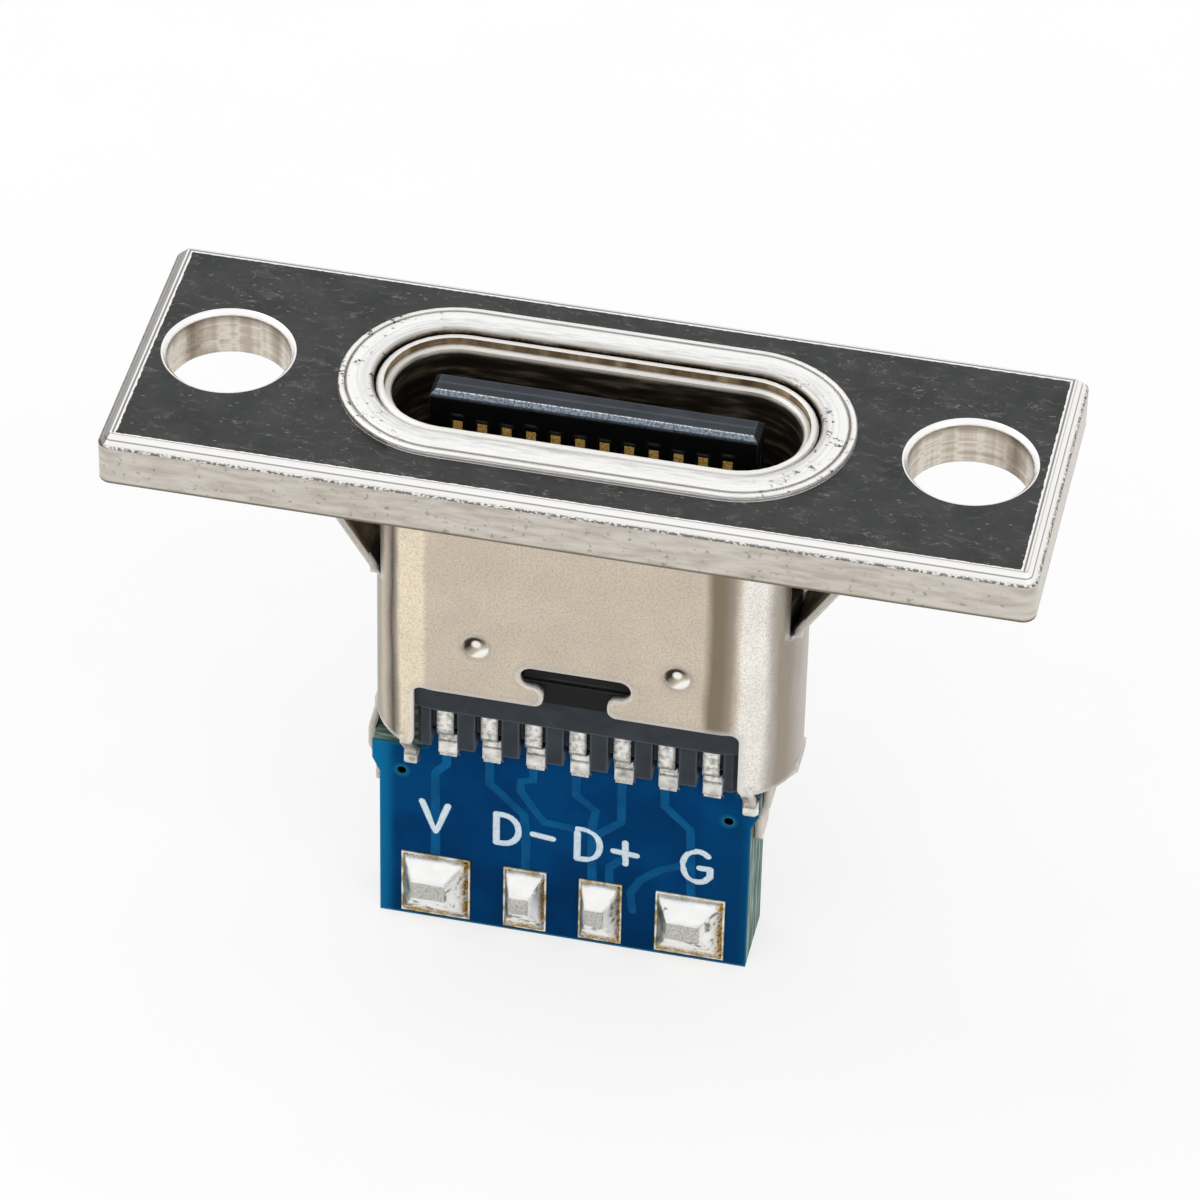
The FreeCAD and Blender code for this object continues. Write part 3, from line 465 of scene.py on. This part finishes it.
is_flank = add(tree, "Math", from_middle, half_contact / contact_pitch, operation="GREATER_THAN")
# Where the moulding covers the contacts they are painted near black, like the painted shade on the
# moulding there.
covered = add(tree, "Math", is_tip, is_flank, operation="MAXIMUM")
tipped = add(tree, "Mix", covered, gold_tone, "#0d0c0a", data_type="RGBA")
contact_colour = add(tree, "Mix", is_tail, tipped, tail_shaded, data_type="RGBA")
# The tails' edges get a painted highlight.
tail_edge = add(tree, "MapRange", edge, 0.40, 0.65, 0.0, 0.9)
tail_edge_highlight = add(tree, "Math", tail_edge, is_tail, operation="MULTIPLY")
contact_highlighted = add(tree, "Mix", tail_edge_highlight, contact_colour, "#faf8f4", data_type="RGBA")
contact_metal = add(tree, "MapRange", is_tail, 0.0, 1.0, 0.15, 1.0)
contact_rough = add(tree, "MapRange", stamped, 0.3, 0.7, 0.20, 0.36)
contact_bump = add(tree, "Bump", Strength=0.25, Distance=0.006 * MM, Height=stamped, Normal=rounded)
close_finish(tree, Base_Color=contact_highlighted, Metallic=contact_metal, Roughness=contact_rough,
             Normal=contact_bump)
for face in ("front", "back"):
    for index in range(1, 13):
        wear(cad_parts["contact_%s_%02d" % (face, index)], finish)


# Circuit board: glass-fibre laminate, sawn out with a bare grey-green edge. Both faces carry blue
# solder mask, darker over bare laminate and lighter over copper, with a paler painted reflection along
# the left edge.
finish, tree, place, rounded, edge, (x, y, z), _ = new_finish("blue_solder_mask_on_glass_fibre", 0.07)
# In mm: the mask's depth from the middle, the board's lower edge, and the vias as (across, up).
mask_face = 0.795
board_end = -13.88
vias = ((-3.81, -9.84), (3.13, -9.84))
via_radius = 0.14
pour = add(tree, "TexNoise", place, Scale=1 / 1.3, Detail=3.0, Roughness=0.45)
weave_place = add(tree, "Mapping", place, Scale=(1.6, 9.0, 1.0))
weave = add(tree, "TexNoise", weave_place, Scale=1.0, Detail=5.0)
mask_tone = add(tree, "ValToRGB", pour, stops=[(0.36, "#002c59"), (0.5, "#00386c"), (0.62, "#00457a")])
# Across the board the mask is paler at the left end, a painted reflection, and paler again at the far
# right.
copper_edge = add(tree, "MapRange", x, -4.28, 3.60)
copper_and_reflection_tone = add(tree, "ValToRGB", copper_edge,
                stops=[(0.0, "#0c6d9d"), (0.028, "#085f8e"), (0.045, "#003b6b"), (0.86, "#003b6b"),
                       (0.88, "#004777"), (0.975, "#004777"), (1.0, "#0a5f8c")])
poured = add(tree, "Mix", 0.5, mask_tone, copper_and_reflection_tone, data_type="RGBA")
left_reflection_band = add(tree, "MapRange", x, -4.15, -3.98, 1.0, 0.0)
with_left_reflection = add(tree, "Mix", left_reflection_band, poured, copper_and_reflection_tone, data_type="RGBA")
edge_tone = add(tree, "ValToRGB", weave, stops=[(0.36, "#4a625c"), (0.5, "#738880"), (0.64, "#abb9ae")])
depth = add(tree, "Math", y, operation="ABSOLUTE")
is_face = add(tree, "Math", depth, mask_face, operation="GREATER_THAN")
near_mask = add(tree, "MapRange", depth, mask_face - 0.08, mask_face - 0.04)
edge_colour = add(tree, "Mix", near_mask, edge_tone, "#0a6f88", data_type="RGBA")
face_colour = with_left_reflection
for across, up in vias:
    via_spot = add(tree, "VectorMath", place, (1.0, 0.0, 1.0), (-across, 0.0, -up),
                   operation="MULTIPLY_ADD")
    via_distance = add(tree, "VectorMath", via_spot, operation="LENGTH")
    via_ring = add(tree, "ValToRGB", via_distance, stops=[(0.13, 0.8), (0.17, 0.5), (0.21, 0.0)])
    face_colour = add(tree, "Mix", via_ring, face_colour, "#0c6484", data_type="RGBA")
    # Each via's hole is painted near black as shade.
    via_hole_shade = add(tree, "Math", via_distance, via_radius, operation="LESS_THAN")
    edge_colour = add(tree, "Mix", via_hole_shade, edge_colour, "#050708", data_type="RGBA")
board_colour = add(tree, "Mix", is_face, edge_colour, face_colour, data_type="RGBA")
# A pale painted highlight runs along the lower edge and over the board's edges.
bottom_highlight_line = add(tree, "MapRange", z, board_end + 0.025, board_end + 0.05, 0.6, 0.0)
edge_highlight_share = add(tree, "Math", edge, 0.45, operation="MULTIPLY")
board_highlight_share = add(tree, "Math", edge_highlight_share, bottom_highlight_line, operation="MAXIMUM")
board_shown = add(tree, "Mix", board_highlight_share, board_colour, "#4fa3c4", data_type="RGBA")
board_rough = add(tree, "MapRange", is_face, 0.0, 1.0, 0.62, 0.28)
board_bump = add(tree, "Bump", Strength=0.2, Distance=0.02 * MM, Height=weave, Normal=rounded)
close_finish(tree, IOR=1.5, Specular_IOR_Level=0.02, Base_Color=board_shown, Roughness=board_rough,
             Normal=board_bump)
wear(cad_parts["circuit_board"], finish)


# Copper tracks: etched foil that runs from the tails to the wire pads under the mask. Each one lifts
# the mask by a hair and shows through it as a lighter blue.
track_finish, tree, place, rounded, *_ = new_finish("solder_mask_over_copper", 0.03)
foil = add(tree, "TexNoise", place, Scale=1 / 0.5, Detail=3.0)
foil_tone = add(tree, "ValToRGB", foil, stops=[(0.3, "#004878"), (0.7, "#005c90")])
foil_bump = add(tree, "Bump", Strength=0.1, Distance=0.01 * MM, Height=foil, Normal=rounded)
close_finish(tree, IOR=1.5, Specular_IOR_Level=0.05, Roughness=0.28, Base_Color=foil_tone,
             Normal=foil_bump)
board_face = -0.80 * MM
track_width, track_rise = 0.23, 0.012


def clear_selection():
    if bpy.context.object and bpy.context.object.mode != "OBJECT":
        bpy.ops.object.mode_set(mode="OBJECT")
    bpy.ops.object.select_all(action="DESELECT")


def settle():
    bpy.ops.object.transform_apply(location=True, rotation=True, scale=True)
    return bpy.context.object


# Rings that round off the end of a stroke: (distance past the end, thickness), of the half width.
cap_rings = ((0.38, 0.92), (0.7, 0.71), (0.92, 0.39), (1.0, 0.05))


def round_cap(end, before, width):
    outward = (Vector(end) - Vector(before)).normalized() * width / 2
    return [(Vector(end) + outward * reach, thick) for reach, thick in cap_rings]


def strokes(name, lines, width, rise, finish):
    curve = bpy.data.curves.new(name, "CURVE")
    curve.dimensions = "3D"
    curve.bevel_depth = width / 2 * MM
    curve.bevel_resolution = 3
    curve.use_fill_caps = True
    for points in lines:
        run = (round_cap(points[0], points[1], width)[::-1] + [(Vector(point), 1.0) for point in points]
               + round_cap(points[-1], points[-2], width))
        spline = curve.splines.new("POLY")
        spline.points.add(len(run) - 1)
        for point, (spot, thick) in zip(spline.points, run):
            point.co = (spot.x * MM, 0.0, spot.y * MM, 1.0)
            point.radius = thick
    stroke = bpy.data.objects.new(name, curve)
    bpy.context.scene.collection.objects.link(stroke)
    clear_selection()
    stroke.select_set(True)
    bpy.context.view_layer.objects.active = stroke
    bpy.ops.object.convert(target="MESH")
    stroke = bpy.context.object
    stroke.scale = (1.0, 2 * rise / width, 1.0)
    stroke.location = (0.0, board_face, 0.0)
    settle()
    wear(stroke, finish)
    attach(stroke, "root")


# Each track is one or more runs of (across, up) places in mm.
tracks = {
    "track_supply": [[(-2.85, -9.10), (-2.85, -9.48), (-3.09, -9.76), (-3.08, -12.07)]],
    "track_data_minus": [[(-1.93, -9.10), (-1.93, -9.82), (-1.19, -10.56), (-1.14, -11.20),
                          (-1.14, -12.07)]],
    "track_link": [[(-1.01, -9.10), (-1.01, -9.55), (-1.27, -9.62), (-1.27, -9.90), (-0.77, -10.67),
                    (-0.11, -10.72), (0.25, -10.70)]],
    "track_data_plus": [[(-0.09, -9.00), (-0.09, -9.77), (0.33, -10.13), (0.26, -10.57), (0.28, -12.07)],
                        [(0.87, -9.05), (0.87, -10.33), (0.43, -10.73)],
                        [(0.87, -11.40), (0.64, -11.65), (0.65, -12.07)]],
    "track_ground": [[(1.77, -9.10), (1.78, -9.69), (2.34, -10.24), (2.39, -12.07)],
                     [(1.15, -12.75), (1.10, -12.29), (1.30, -11.88), (1.72, -11.50), (2.34, -11.19)]],
}
for name, lines in tracks.items():
    strokes(name, lines, track_width, track_rise, track_finish)


# Wire pads: copper with a thin gold finish, left showing round the solder, where baked flux has
# browned it in patches.
finish, tree, place, rounded, *_ = new_finish("gold_finished_copper_pad", 0.04)
bake = add(tree, "TexNoise", place, Scale=1 / 0.25, Detail=4.0)
pad_tone = add(tree, "ValToRGB", bake, stops=[(0.40, "#b59a5a"), (0.5, "#e2d8b8"), (0.60, "#f4f2ea")])
pad_bump = add(tree, "Bump", Strength=0.3, Distance=0.02 * MM, Height=bake, Normal=rounded)
close_finish(tree, Metallic=0.8, Roughness=0.4, Base_Color=pad_tone, Normal=pad_bump)
pads = ("supply", "data_minus", "data_plus", "ground")
for name in pads:
    wear(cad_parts["wire_pad_" + name], finish)


# Solder at the tails and feet: tin alloy, drawn up the metal by the heat of the joint. Its slopes
# freeze bright and smooth with a grey grain in places.
finish, tree, place, rounded, edge, *_ = new_finish("tin_solder", 0.09)
frost = add(tree, "TexNoise", place, Scale=1 / 0.06, Detail=4.0)
slump = add(tree, "TexNoise", place, Scale=1 / 0.35, Detail=3.0)
solder_tone = add(tree, "ValToRGB", slump,
                  stops=[(0.32, "#9a9891"), (0.45, "#cfcdc6"), (0.6, "#ecebe6"), (0.75, "#fbfaf7")])
# Edges get a painted highlight.
solder_edge_highlight = add(tree, "Math", edge, 0.7, operation="MULTIPLY")
solder_colour = add(tree, "Mix", solder_edge_highlight, solder_tone, "#fdfcfa", data_type="RGBA")
solder_rough = add(tree, "MapRange", frost, 0.35, 0.65, 0.20, 0.42)
solder_bump = add(tree, "Bump", Strength=0.35, Distance=0.02 * MM, Height=frost, Normal=rounded)
close_finish(tree, Metallic=1.0, Base_Color=solder_colour, Roughness=solder_rough, Normal=solder_bump)
for name in ("tail_solder_front", "tail_solder_back", "ground_solder_front", "ground_solder_back",
             "resistor_solder"):
    wear(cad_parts[name], finish)


# Pre-tinned wire joints: each pad carries a hipped lump of solder with a small flat crown, frozen last
# and grainy. The upper, right and lower slopes are painted bright as highlights and the left slope darker
# as shade, and flux browns the lower and the right foot.
joint_finish, tree, place, rounded, edge, (_, y, _), facing = new_finish("tin_solder_with_flux", 0.15)
frost = add(tree, "TexNoise", place, Scale=1 / 0.05, Detail=4.0)
slump = add(tree, "TexNoise", place, Scale=1 / 0.30, Detail=4.0)
on_pad = add(tree, "UVMap", uv_map="on_pad")
pad_axes = add(tree, "SeparateXYZ", on_pad)
# Slopes facing up, right and down are painted as highlights, and slopes facing left as shade.
slope_up = add(tree, "MapRange", facing["Z"], 0.10, 0.35)
slope_left = add(tree, "MapRange", facing["X"], -0.35, -0.15, 1.0, 0.0)
crown_tone = add(tree, "ValToRGB", frost, stops=[(0.34, "#b0aea7"), (0.5, "#c6c4be"), (0.64, "#d6d4ce")])
upper_highlight_tone = add(tree, "ValToRGB", slump, stops=[(0.27, "#8d8b85"), (0.32, "#f7f6f3"), (0.6, "#fefefd")])
left_shade_tone = add(tree, "ValToRGB", slump, stops=[(0.34, "#6f7669"), (0.5, "#a9b0a4"), (0.64, "#d9dcd3")])
sloped = add(tree, "Mix", slope_up, crown_tone, upper_highlight_tone, data_type="RGBA")
slope_right = add(tree, "MapRange", facing["X"], 0.15, 0.35)
slope_low = add(tree, "MapRange", facing["Z"], -0.40, -0.20, 1.0, 0.0)
highlight_slopes = add(tree, "Math", slope_right, slope_low, operation="MAXIMUM")
right_and_lower_highlight_tone = add(tree, "ValToRGB", slump, stops=[(0.36, "#8b887d"), (0.44, "#f4f3ee"), (0.6, "#fefefc")])
highlighted_slopes = add(tree, "Mix", highlight_slopes, sloped, right_and_lower_highlight_tone, data_type="RGBA")
with_left_shade = add(tree, "Mix", slope_left, highlighted_slopes, left_shade_tone, data_type="RGBA")
right_foot = add(tree, "MapRange", pad_axes.outputs["X"], 0.87, 0.95)
low_foot = add(tree, "MapRange", pad_axes.outputs["Y"], 0.20, 0.10, 0.0, 1.0)
foot = add(tree, "Math", right_foot, low_foot, operation="MAXIMUM")
flux_patch = add(tree, "MapRange", slump, 0.41, 0.50, 0.0, 0.95)
flux = add(tree, "Math", foot, flux_patch, operation="MULTIPLY")
flux_tone = add(tree, "ValToRGB", frost, stops=[(0.38, "#5b3f0c"), (0.5, "#b98a2c"), (0.62, "#e4c987")])
# Dark painted shade lines run along the hips, more towards the right.
hip_shade_break = add(tree, "MapRange", slump, 0.46, 0.56, 0.0, 1.0)
hip_shade_side = add(tree, "MapRange", pad_axes.outputs["X"], 0.35, 0.75, 0.15, 0.95)
hip_shade_share = add(tree, "Math", hip_shade_break, hip_shade_side, operation="MULTIPLY")
off_pad = add(tree, "MapRange", y, -0.98, -0.90, 1.0, 0.0)
hip = add(tree, "Math", edge, off_pad, operation="MULTIPLY")
hip_line = add(tree, "MapRange", hip, 0.10, 0.45)
hip_shade = add(tree, "Math", hip_shade_share, hip_line, operation="MULTIPLY")
hip_shaded = add(tree, "Mix", hip_shade, with_left_shade, "#26241f", data_type="RGBA")
joint_colour = add(tree, "Mix", flux, hip_shaded, flux_tone, data_type="RGBA")
joint_rough = add(tree, "MapRange", slope_up, 0.0, 1.0, 0.46, 0.26)
joint_bump = add(tree, "Bump", Strength=0.35, Distance=0.02 * MM, Height=frost, Normal=rounded)
close_finish(tree, Metallic=1.0, Base_Color=joint_colour, Roughness=joint_rough, Normal=joint_bump)

crown_size = (0.52, 1.0, 0.28)
crown_left, crown_up = 0.05, 0.10
lump_dent = bpy.data.textures.new("lump_dent", "CLOUDS")
lump_dent.noise_scale = 0.35 * MM
lump_dent.noise_depth = 2
for name in pads:
    low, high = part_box("wire_solder_" + name)
    size = high - low
    clear_selection()
    bpy.ops.mesh.primitive_cube_add(size=1.0, location=(low + high) / 2, scale=size)
    lump = settle()
    lump.name = "wire_joint_" + name
    bpy.ops.object.mode_set(mode="EDIT")
    bpy.ops.mesh.select_mode(type="FACE")
    bpy.ops.mesh.select_all(action="DESELECT")
    bpy.ops.object.mode_set(mode="OBJECT")
    for polygon in lump.data.polygons:
        polygon.select = polygon.normal.y < -0.9
    bpy.ops.object.mode_set(mode="EDIT")
    bpy.ops.transform.resize(value=crown_size)
    bpy.ops.transform.translate(value=(-crown_left * size.x, 0.0, crown_up * size.z))
    bpy.ops.mesh.select_all(action="SELECT")
    bpy.ops.mesh.bevel(offset=0.02 * MM, segments=2, affect="EDGES")
    bpy.ops.mesh.select_all(action="SELECT")
    bpy.ops.mesh.subdivide(number_cuts=9)
    bpy.ops.object.mode_set(mode="OBJECT")
    dents = lump.modifiers.new("dents", "DISPLACE")
    dents.texture = lump_dent
    dents.texture_coords = "LOCAL"
    dents.strength = 0.04 * MM
    dents.mid_level = 0.55
    bpy.ops.object.modifier_apply(modifier="dents")
    bpy.ops.object.shade_smooth_by_angle(angle=math.radians(18))
    pad_share = lump.data.uv_layers.new(name="on_pad")
    for loop in lump.data.loops:
        spot = lump.data.vertices[loop.vertex_index].co
        pad_share.data[loop.index].uv = ((spot.x - low.x) / size.x, (spot.z - low.z) / size.z)
    wear(lump, joint_finish)
    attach(lump, "root")
    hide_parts("wire_solder_" + name)


# Chip resistors: glazed alumina blocks with wrapped tin end caps, on the hidden face.
# The glaze is printed black over the resistive film, and the caps are plated tin.
finish, tree, place, rounded, _, (_, _, z), _ = new_finish("glazed_chip_with_tin_caps", 0.03)
chip_low, chip_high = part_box("resistor_left")
chip_middle = (chip_low.z + chip_high.z) / 2 / MM
cap_length = 0.2
cap_start = (chip_high.z - chip_low.z) / 2 / MM - cap_length
glaze = add(tree, "TexNoise", place, Scale=1 / 0.1, Detail=3.0)
glaze_tone = add(tree, "ValToRGB", glaze, stops=[(0.3, "#161616"), (0.7, "#242424")])
along = add(tree, "Math", z, chip_middle, operation="SUBTRACT")
from_middle = add(tree, "Math", along, operation="ABSOLUTE")
is_cap = add(tree, "Math", from_middle, cap_start, operation="GREATER_THAN")
chip_colour = add(tree, "Mix", is_cap, glaze_tone, "#c6c4be", data_type="RGBA")
chip_bump = add(tree, "Bump", Strength=0.15, Distance=0.01 * MM, Height=glaze, Normal=rounded)
close_finish(tree, Roughness=0.35, Base_Color=chip_colour, Metallic=is_cap, Normal=chip_bump)
for name in ("resistor_left", "resistor_right"):
    wear(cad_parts[name], finish)


# Printed legend: white epoxy ink, screened over the mask to mark the four terminals. The strokes are
# rounded and stand a hair proud of the board.
finish, tree, place, rounded, *_ = new_finish("white_screened_ink", 0.02)
ink = add(tree, "TexNoise", place, Scale=1 / 0.06, Detail=2.0)
ink_tone = add(tree, "ValToRGB", ink, stops=[(0.3, "#c3d7e4"), (0.6, "#dbe9f2")])
ink_bump = add(tree, "Bump", Strength=0.1, Distance=0.01 * MM, Height=ink, Normal=rounded)
close_finish(tree, Roughness=0.55, Base_Color=ink_tone, Normal=ink_bump)


def arc(centre, radius, start, end, count=12, squash=1.0):
    points = []
    for step in range(count + 1):
        turn = math.radians(start + (end - start) * step / count)
        points.append((centre[0] + radius * squash * math.cos(turn), centre[1] + radius * math.sin(turn)))
    return points


def letter_d(left, middle, half, width):
    low, high = (left, middle - half), (left, middle + half)
    belly = arc((left + width * 0.30, middle), half, 90, -90, squash=width * 0.70 / half)
    return [[low, high], [high] + belly + [low]]


stroke_width, ink_rise = 0.155, 0.016
legend = {
    "legend_supply": [[(-3.37, -10.62), (-3.08, -11.42)], [(-3.08, -11.42), (-2.82, -10.66)]],
    "legend_data_minus": letter_d(-1.78, -11.05, 0.40, 0.48) + [[(-1.00, -11.06), (-0.58, -11.11)]],
    "legend_data_plus": letter_d(-0.05, -11.12, 0.42, 0.48) + [[(0.73, -11.17), (1.21, -11.21)],
                                                               [(0.97, -10.90), (0.98, -11.48)]],
    "legend_ground": [arc((2.52, -11.24), 0.43, 50, 300, 16, 0.74) + [(2.78, -11.48)],
                      [(2.78, -11.48), (2.78, -11.27)], [(2.78, -11.27), (2.56, -11.27)]],
}
for name, lines in legend.items():
    strokes(name, lines, stroke_width, ink_rise, finish)


# Floor: a pale sheet under the board's lower edge, running far past the view. It glows for the camera
# and in the metal's reflections, and its matte share keeps the shadow.
finish, tree, place, *_ = new_finish("pale_studio_sheet", 0.02)
sheet = add(tree, "TexNoise", place, Scale=1 / 3.0, Detail=2.0)
sheet_pale = add(tree, "ValToRGB", sheet, stops=[(0.3, "#fafafa"), (0.7, "#fcfcfc")])
matte = add(tree, "BsdfDiffuse", Roughness=0.9, Color=sheet_pale)
glow = add(tree, "Emission", Strength=1.0, Color="#fefefe")
seen = add(tree, "LightPath")
camera_or_gloss = add(tree, "Math", seen.outputs["Is Camera Ray"], seen.outputs["Is Glossy Ray"],
                      operation="MAXIMUM")
any_view = add(tree, "Math", camera_or_gloss, seen.outputs["Is Transmission Ray"], operation="MAXIMUM")
glow_share = add(tree, "Math", any_view, 0.68, operation="MULTIPLY")
sheet_mix = add(tree, "MixShader", glow_share, matte, glow)
add(tree, "OutputMaterial", Surface=sheet_mix)
clear_selection()
bpy.ops.mesh.primitive_plane_add(size=1.6, location=(0.0, 0.0, cad_box[0].z))
floor = settle()
floor.name = "studio_floor"
wear(floor, finish)


# Light: a white tent that is brightest overhead and behind, with one soft box high on the left and a
# weaker one, lower, in front on the right. Both are discs of cloth over a lamp.
world = bpy.data.worlds.new("studio_surround")
bpy.context.scene.world = world
world.use_nodes = True
surround = world.node_tree
surround.nodes.clear()
toward = add(surround, "TexCoord")
tent_axes = add(surround, "SeparateXYZ", toward.outputs["Generated"])
tent_lift = add(surround, "Math", tent_axes.outputs["Y"], 0.30, tent_axes.outputs["Z"],
                operation="MULTIPLY_ADD")
tent_level = add(surround, "MapRange", tent_lift, 0.0, 0.5, 0.86, 0.97)
tent = add(surround, "Background", Color=(1.0, 1.0, 1.0, 1.0), Strength=tent_level)
add(surround, "OutputWorld", Surface=tent)


socket_middle = Vector((0.0, 0.0, -6 * MM))


# Place and size are in metres, and power in watts.
def soft_box(name, place, size, power):
    data = bpy.data.lights.new(name, "AREA")
    data.shape = "DISK"
    data.size = size
    data.energy = power
    lamp = bpy.data.objects.new(name, data)
    bpy.context.scene.collection.objects.link(lamp)
    lamp.location = place
    aim = socket_middle - Vector(place)
    lamp.rotation_euler = aim.to_track_quat("-Z", "Y").to_euler()


soft_box("key_box", (-0.12, 0.02, 0.16), 0.12, 0.06)
soft_box("fill_box", (0.14, -0.12, 0.10), 0.12, 0.02)


# Camera: a long lens, above and a little to the right of the front, as in the photograph.
# Its place is the one that puts the mouth, holes and pads where the photograph has them.
azimuth, elevation, roll = (math.radians(v) for v in (11.3667, 40.6298, 1.3))
shift_right, shift_up, distance = -0.0637 * MM, 3.8669 * MM, 137.13 * MM
focal_pixels, picture_width = 6899.2, 1200
forward = Vector((-math.sin(azimuth) * math.cos(elevation), math.cos(azimuth) * math.cos(elevation),
                  -math.sin(elevation)))
right = forward.cross(Vector((0.0, 0.0, 1.0))).normalized()
up = right.cross(forward)
right, up = (math.cos(roll) * right + math.sin(roll) * up, math.cos(roll) * up - math.sin(roll) * right)
camera_data = bpy.data.cameras.new("camera")
camera_data.sensor_width = 36.0
camera_data.lens = focal_pixels / picture_width * camera_data.sensor_width
camera_data.clip_start = 0.01
camera_data.clip_end = 10.0
camera = bpy.data.objects.new("camera", camera_data)
bpy.context.scene.collection.objects.link(camera)
spot = -(shift_right * right + shift_up * up + distance * forward)
camera.matrix_world = Matrix((
    (right.x, up.x, -forward.x, spot.x),
    (right.y, up.y, -forward.y, spot.y),
    (right.z, up.z, -forward.z, spot.z),
    (0.0, 0.0, 0.0, 1.0)))
bpy.context.scene.camera = camera
bpy.context.scene.view_settings.view_transform = "Standard"
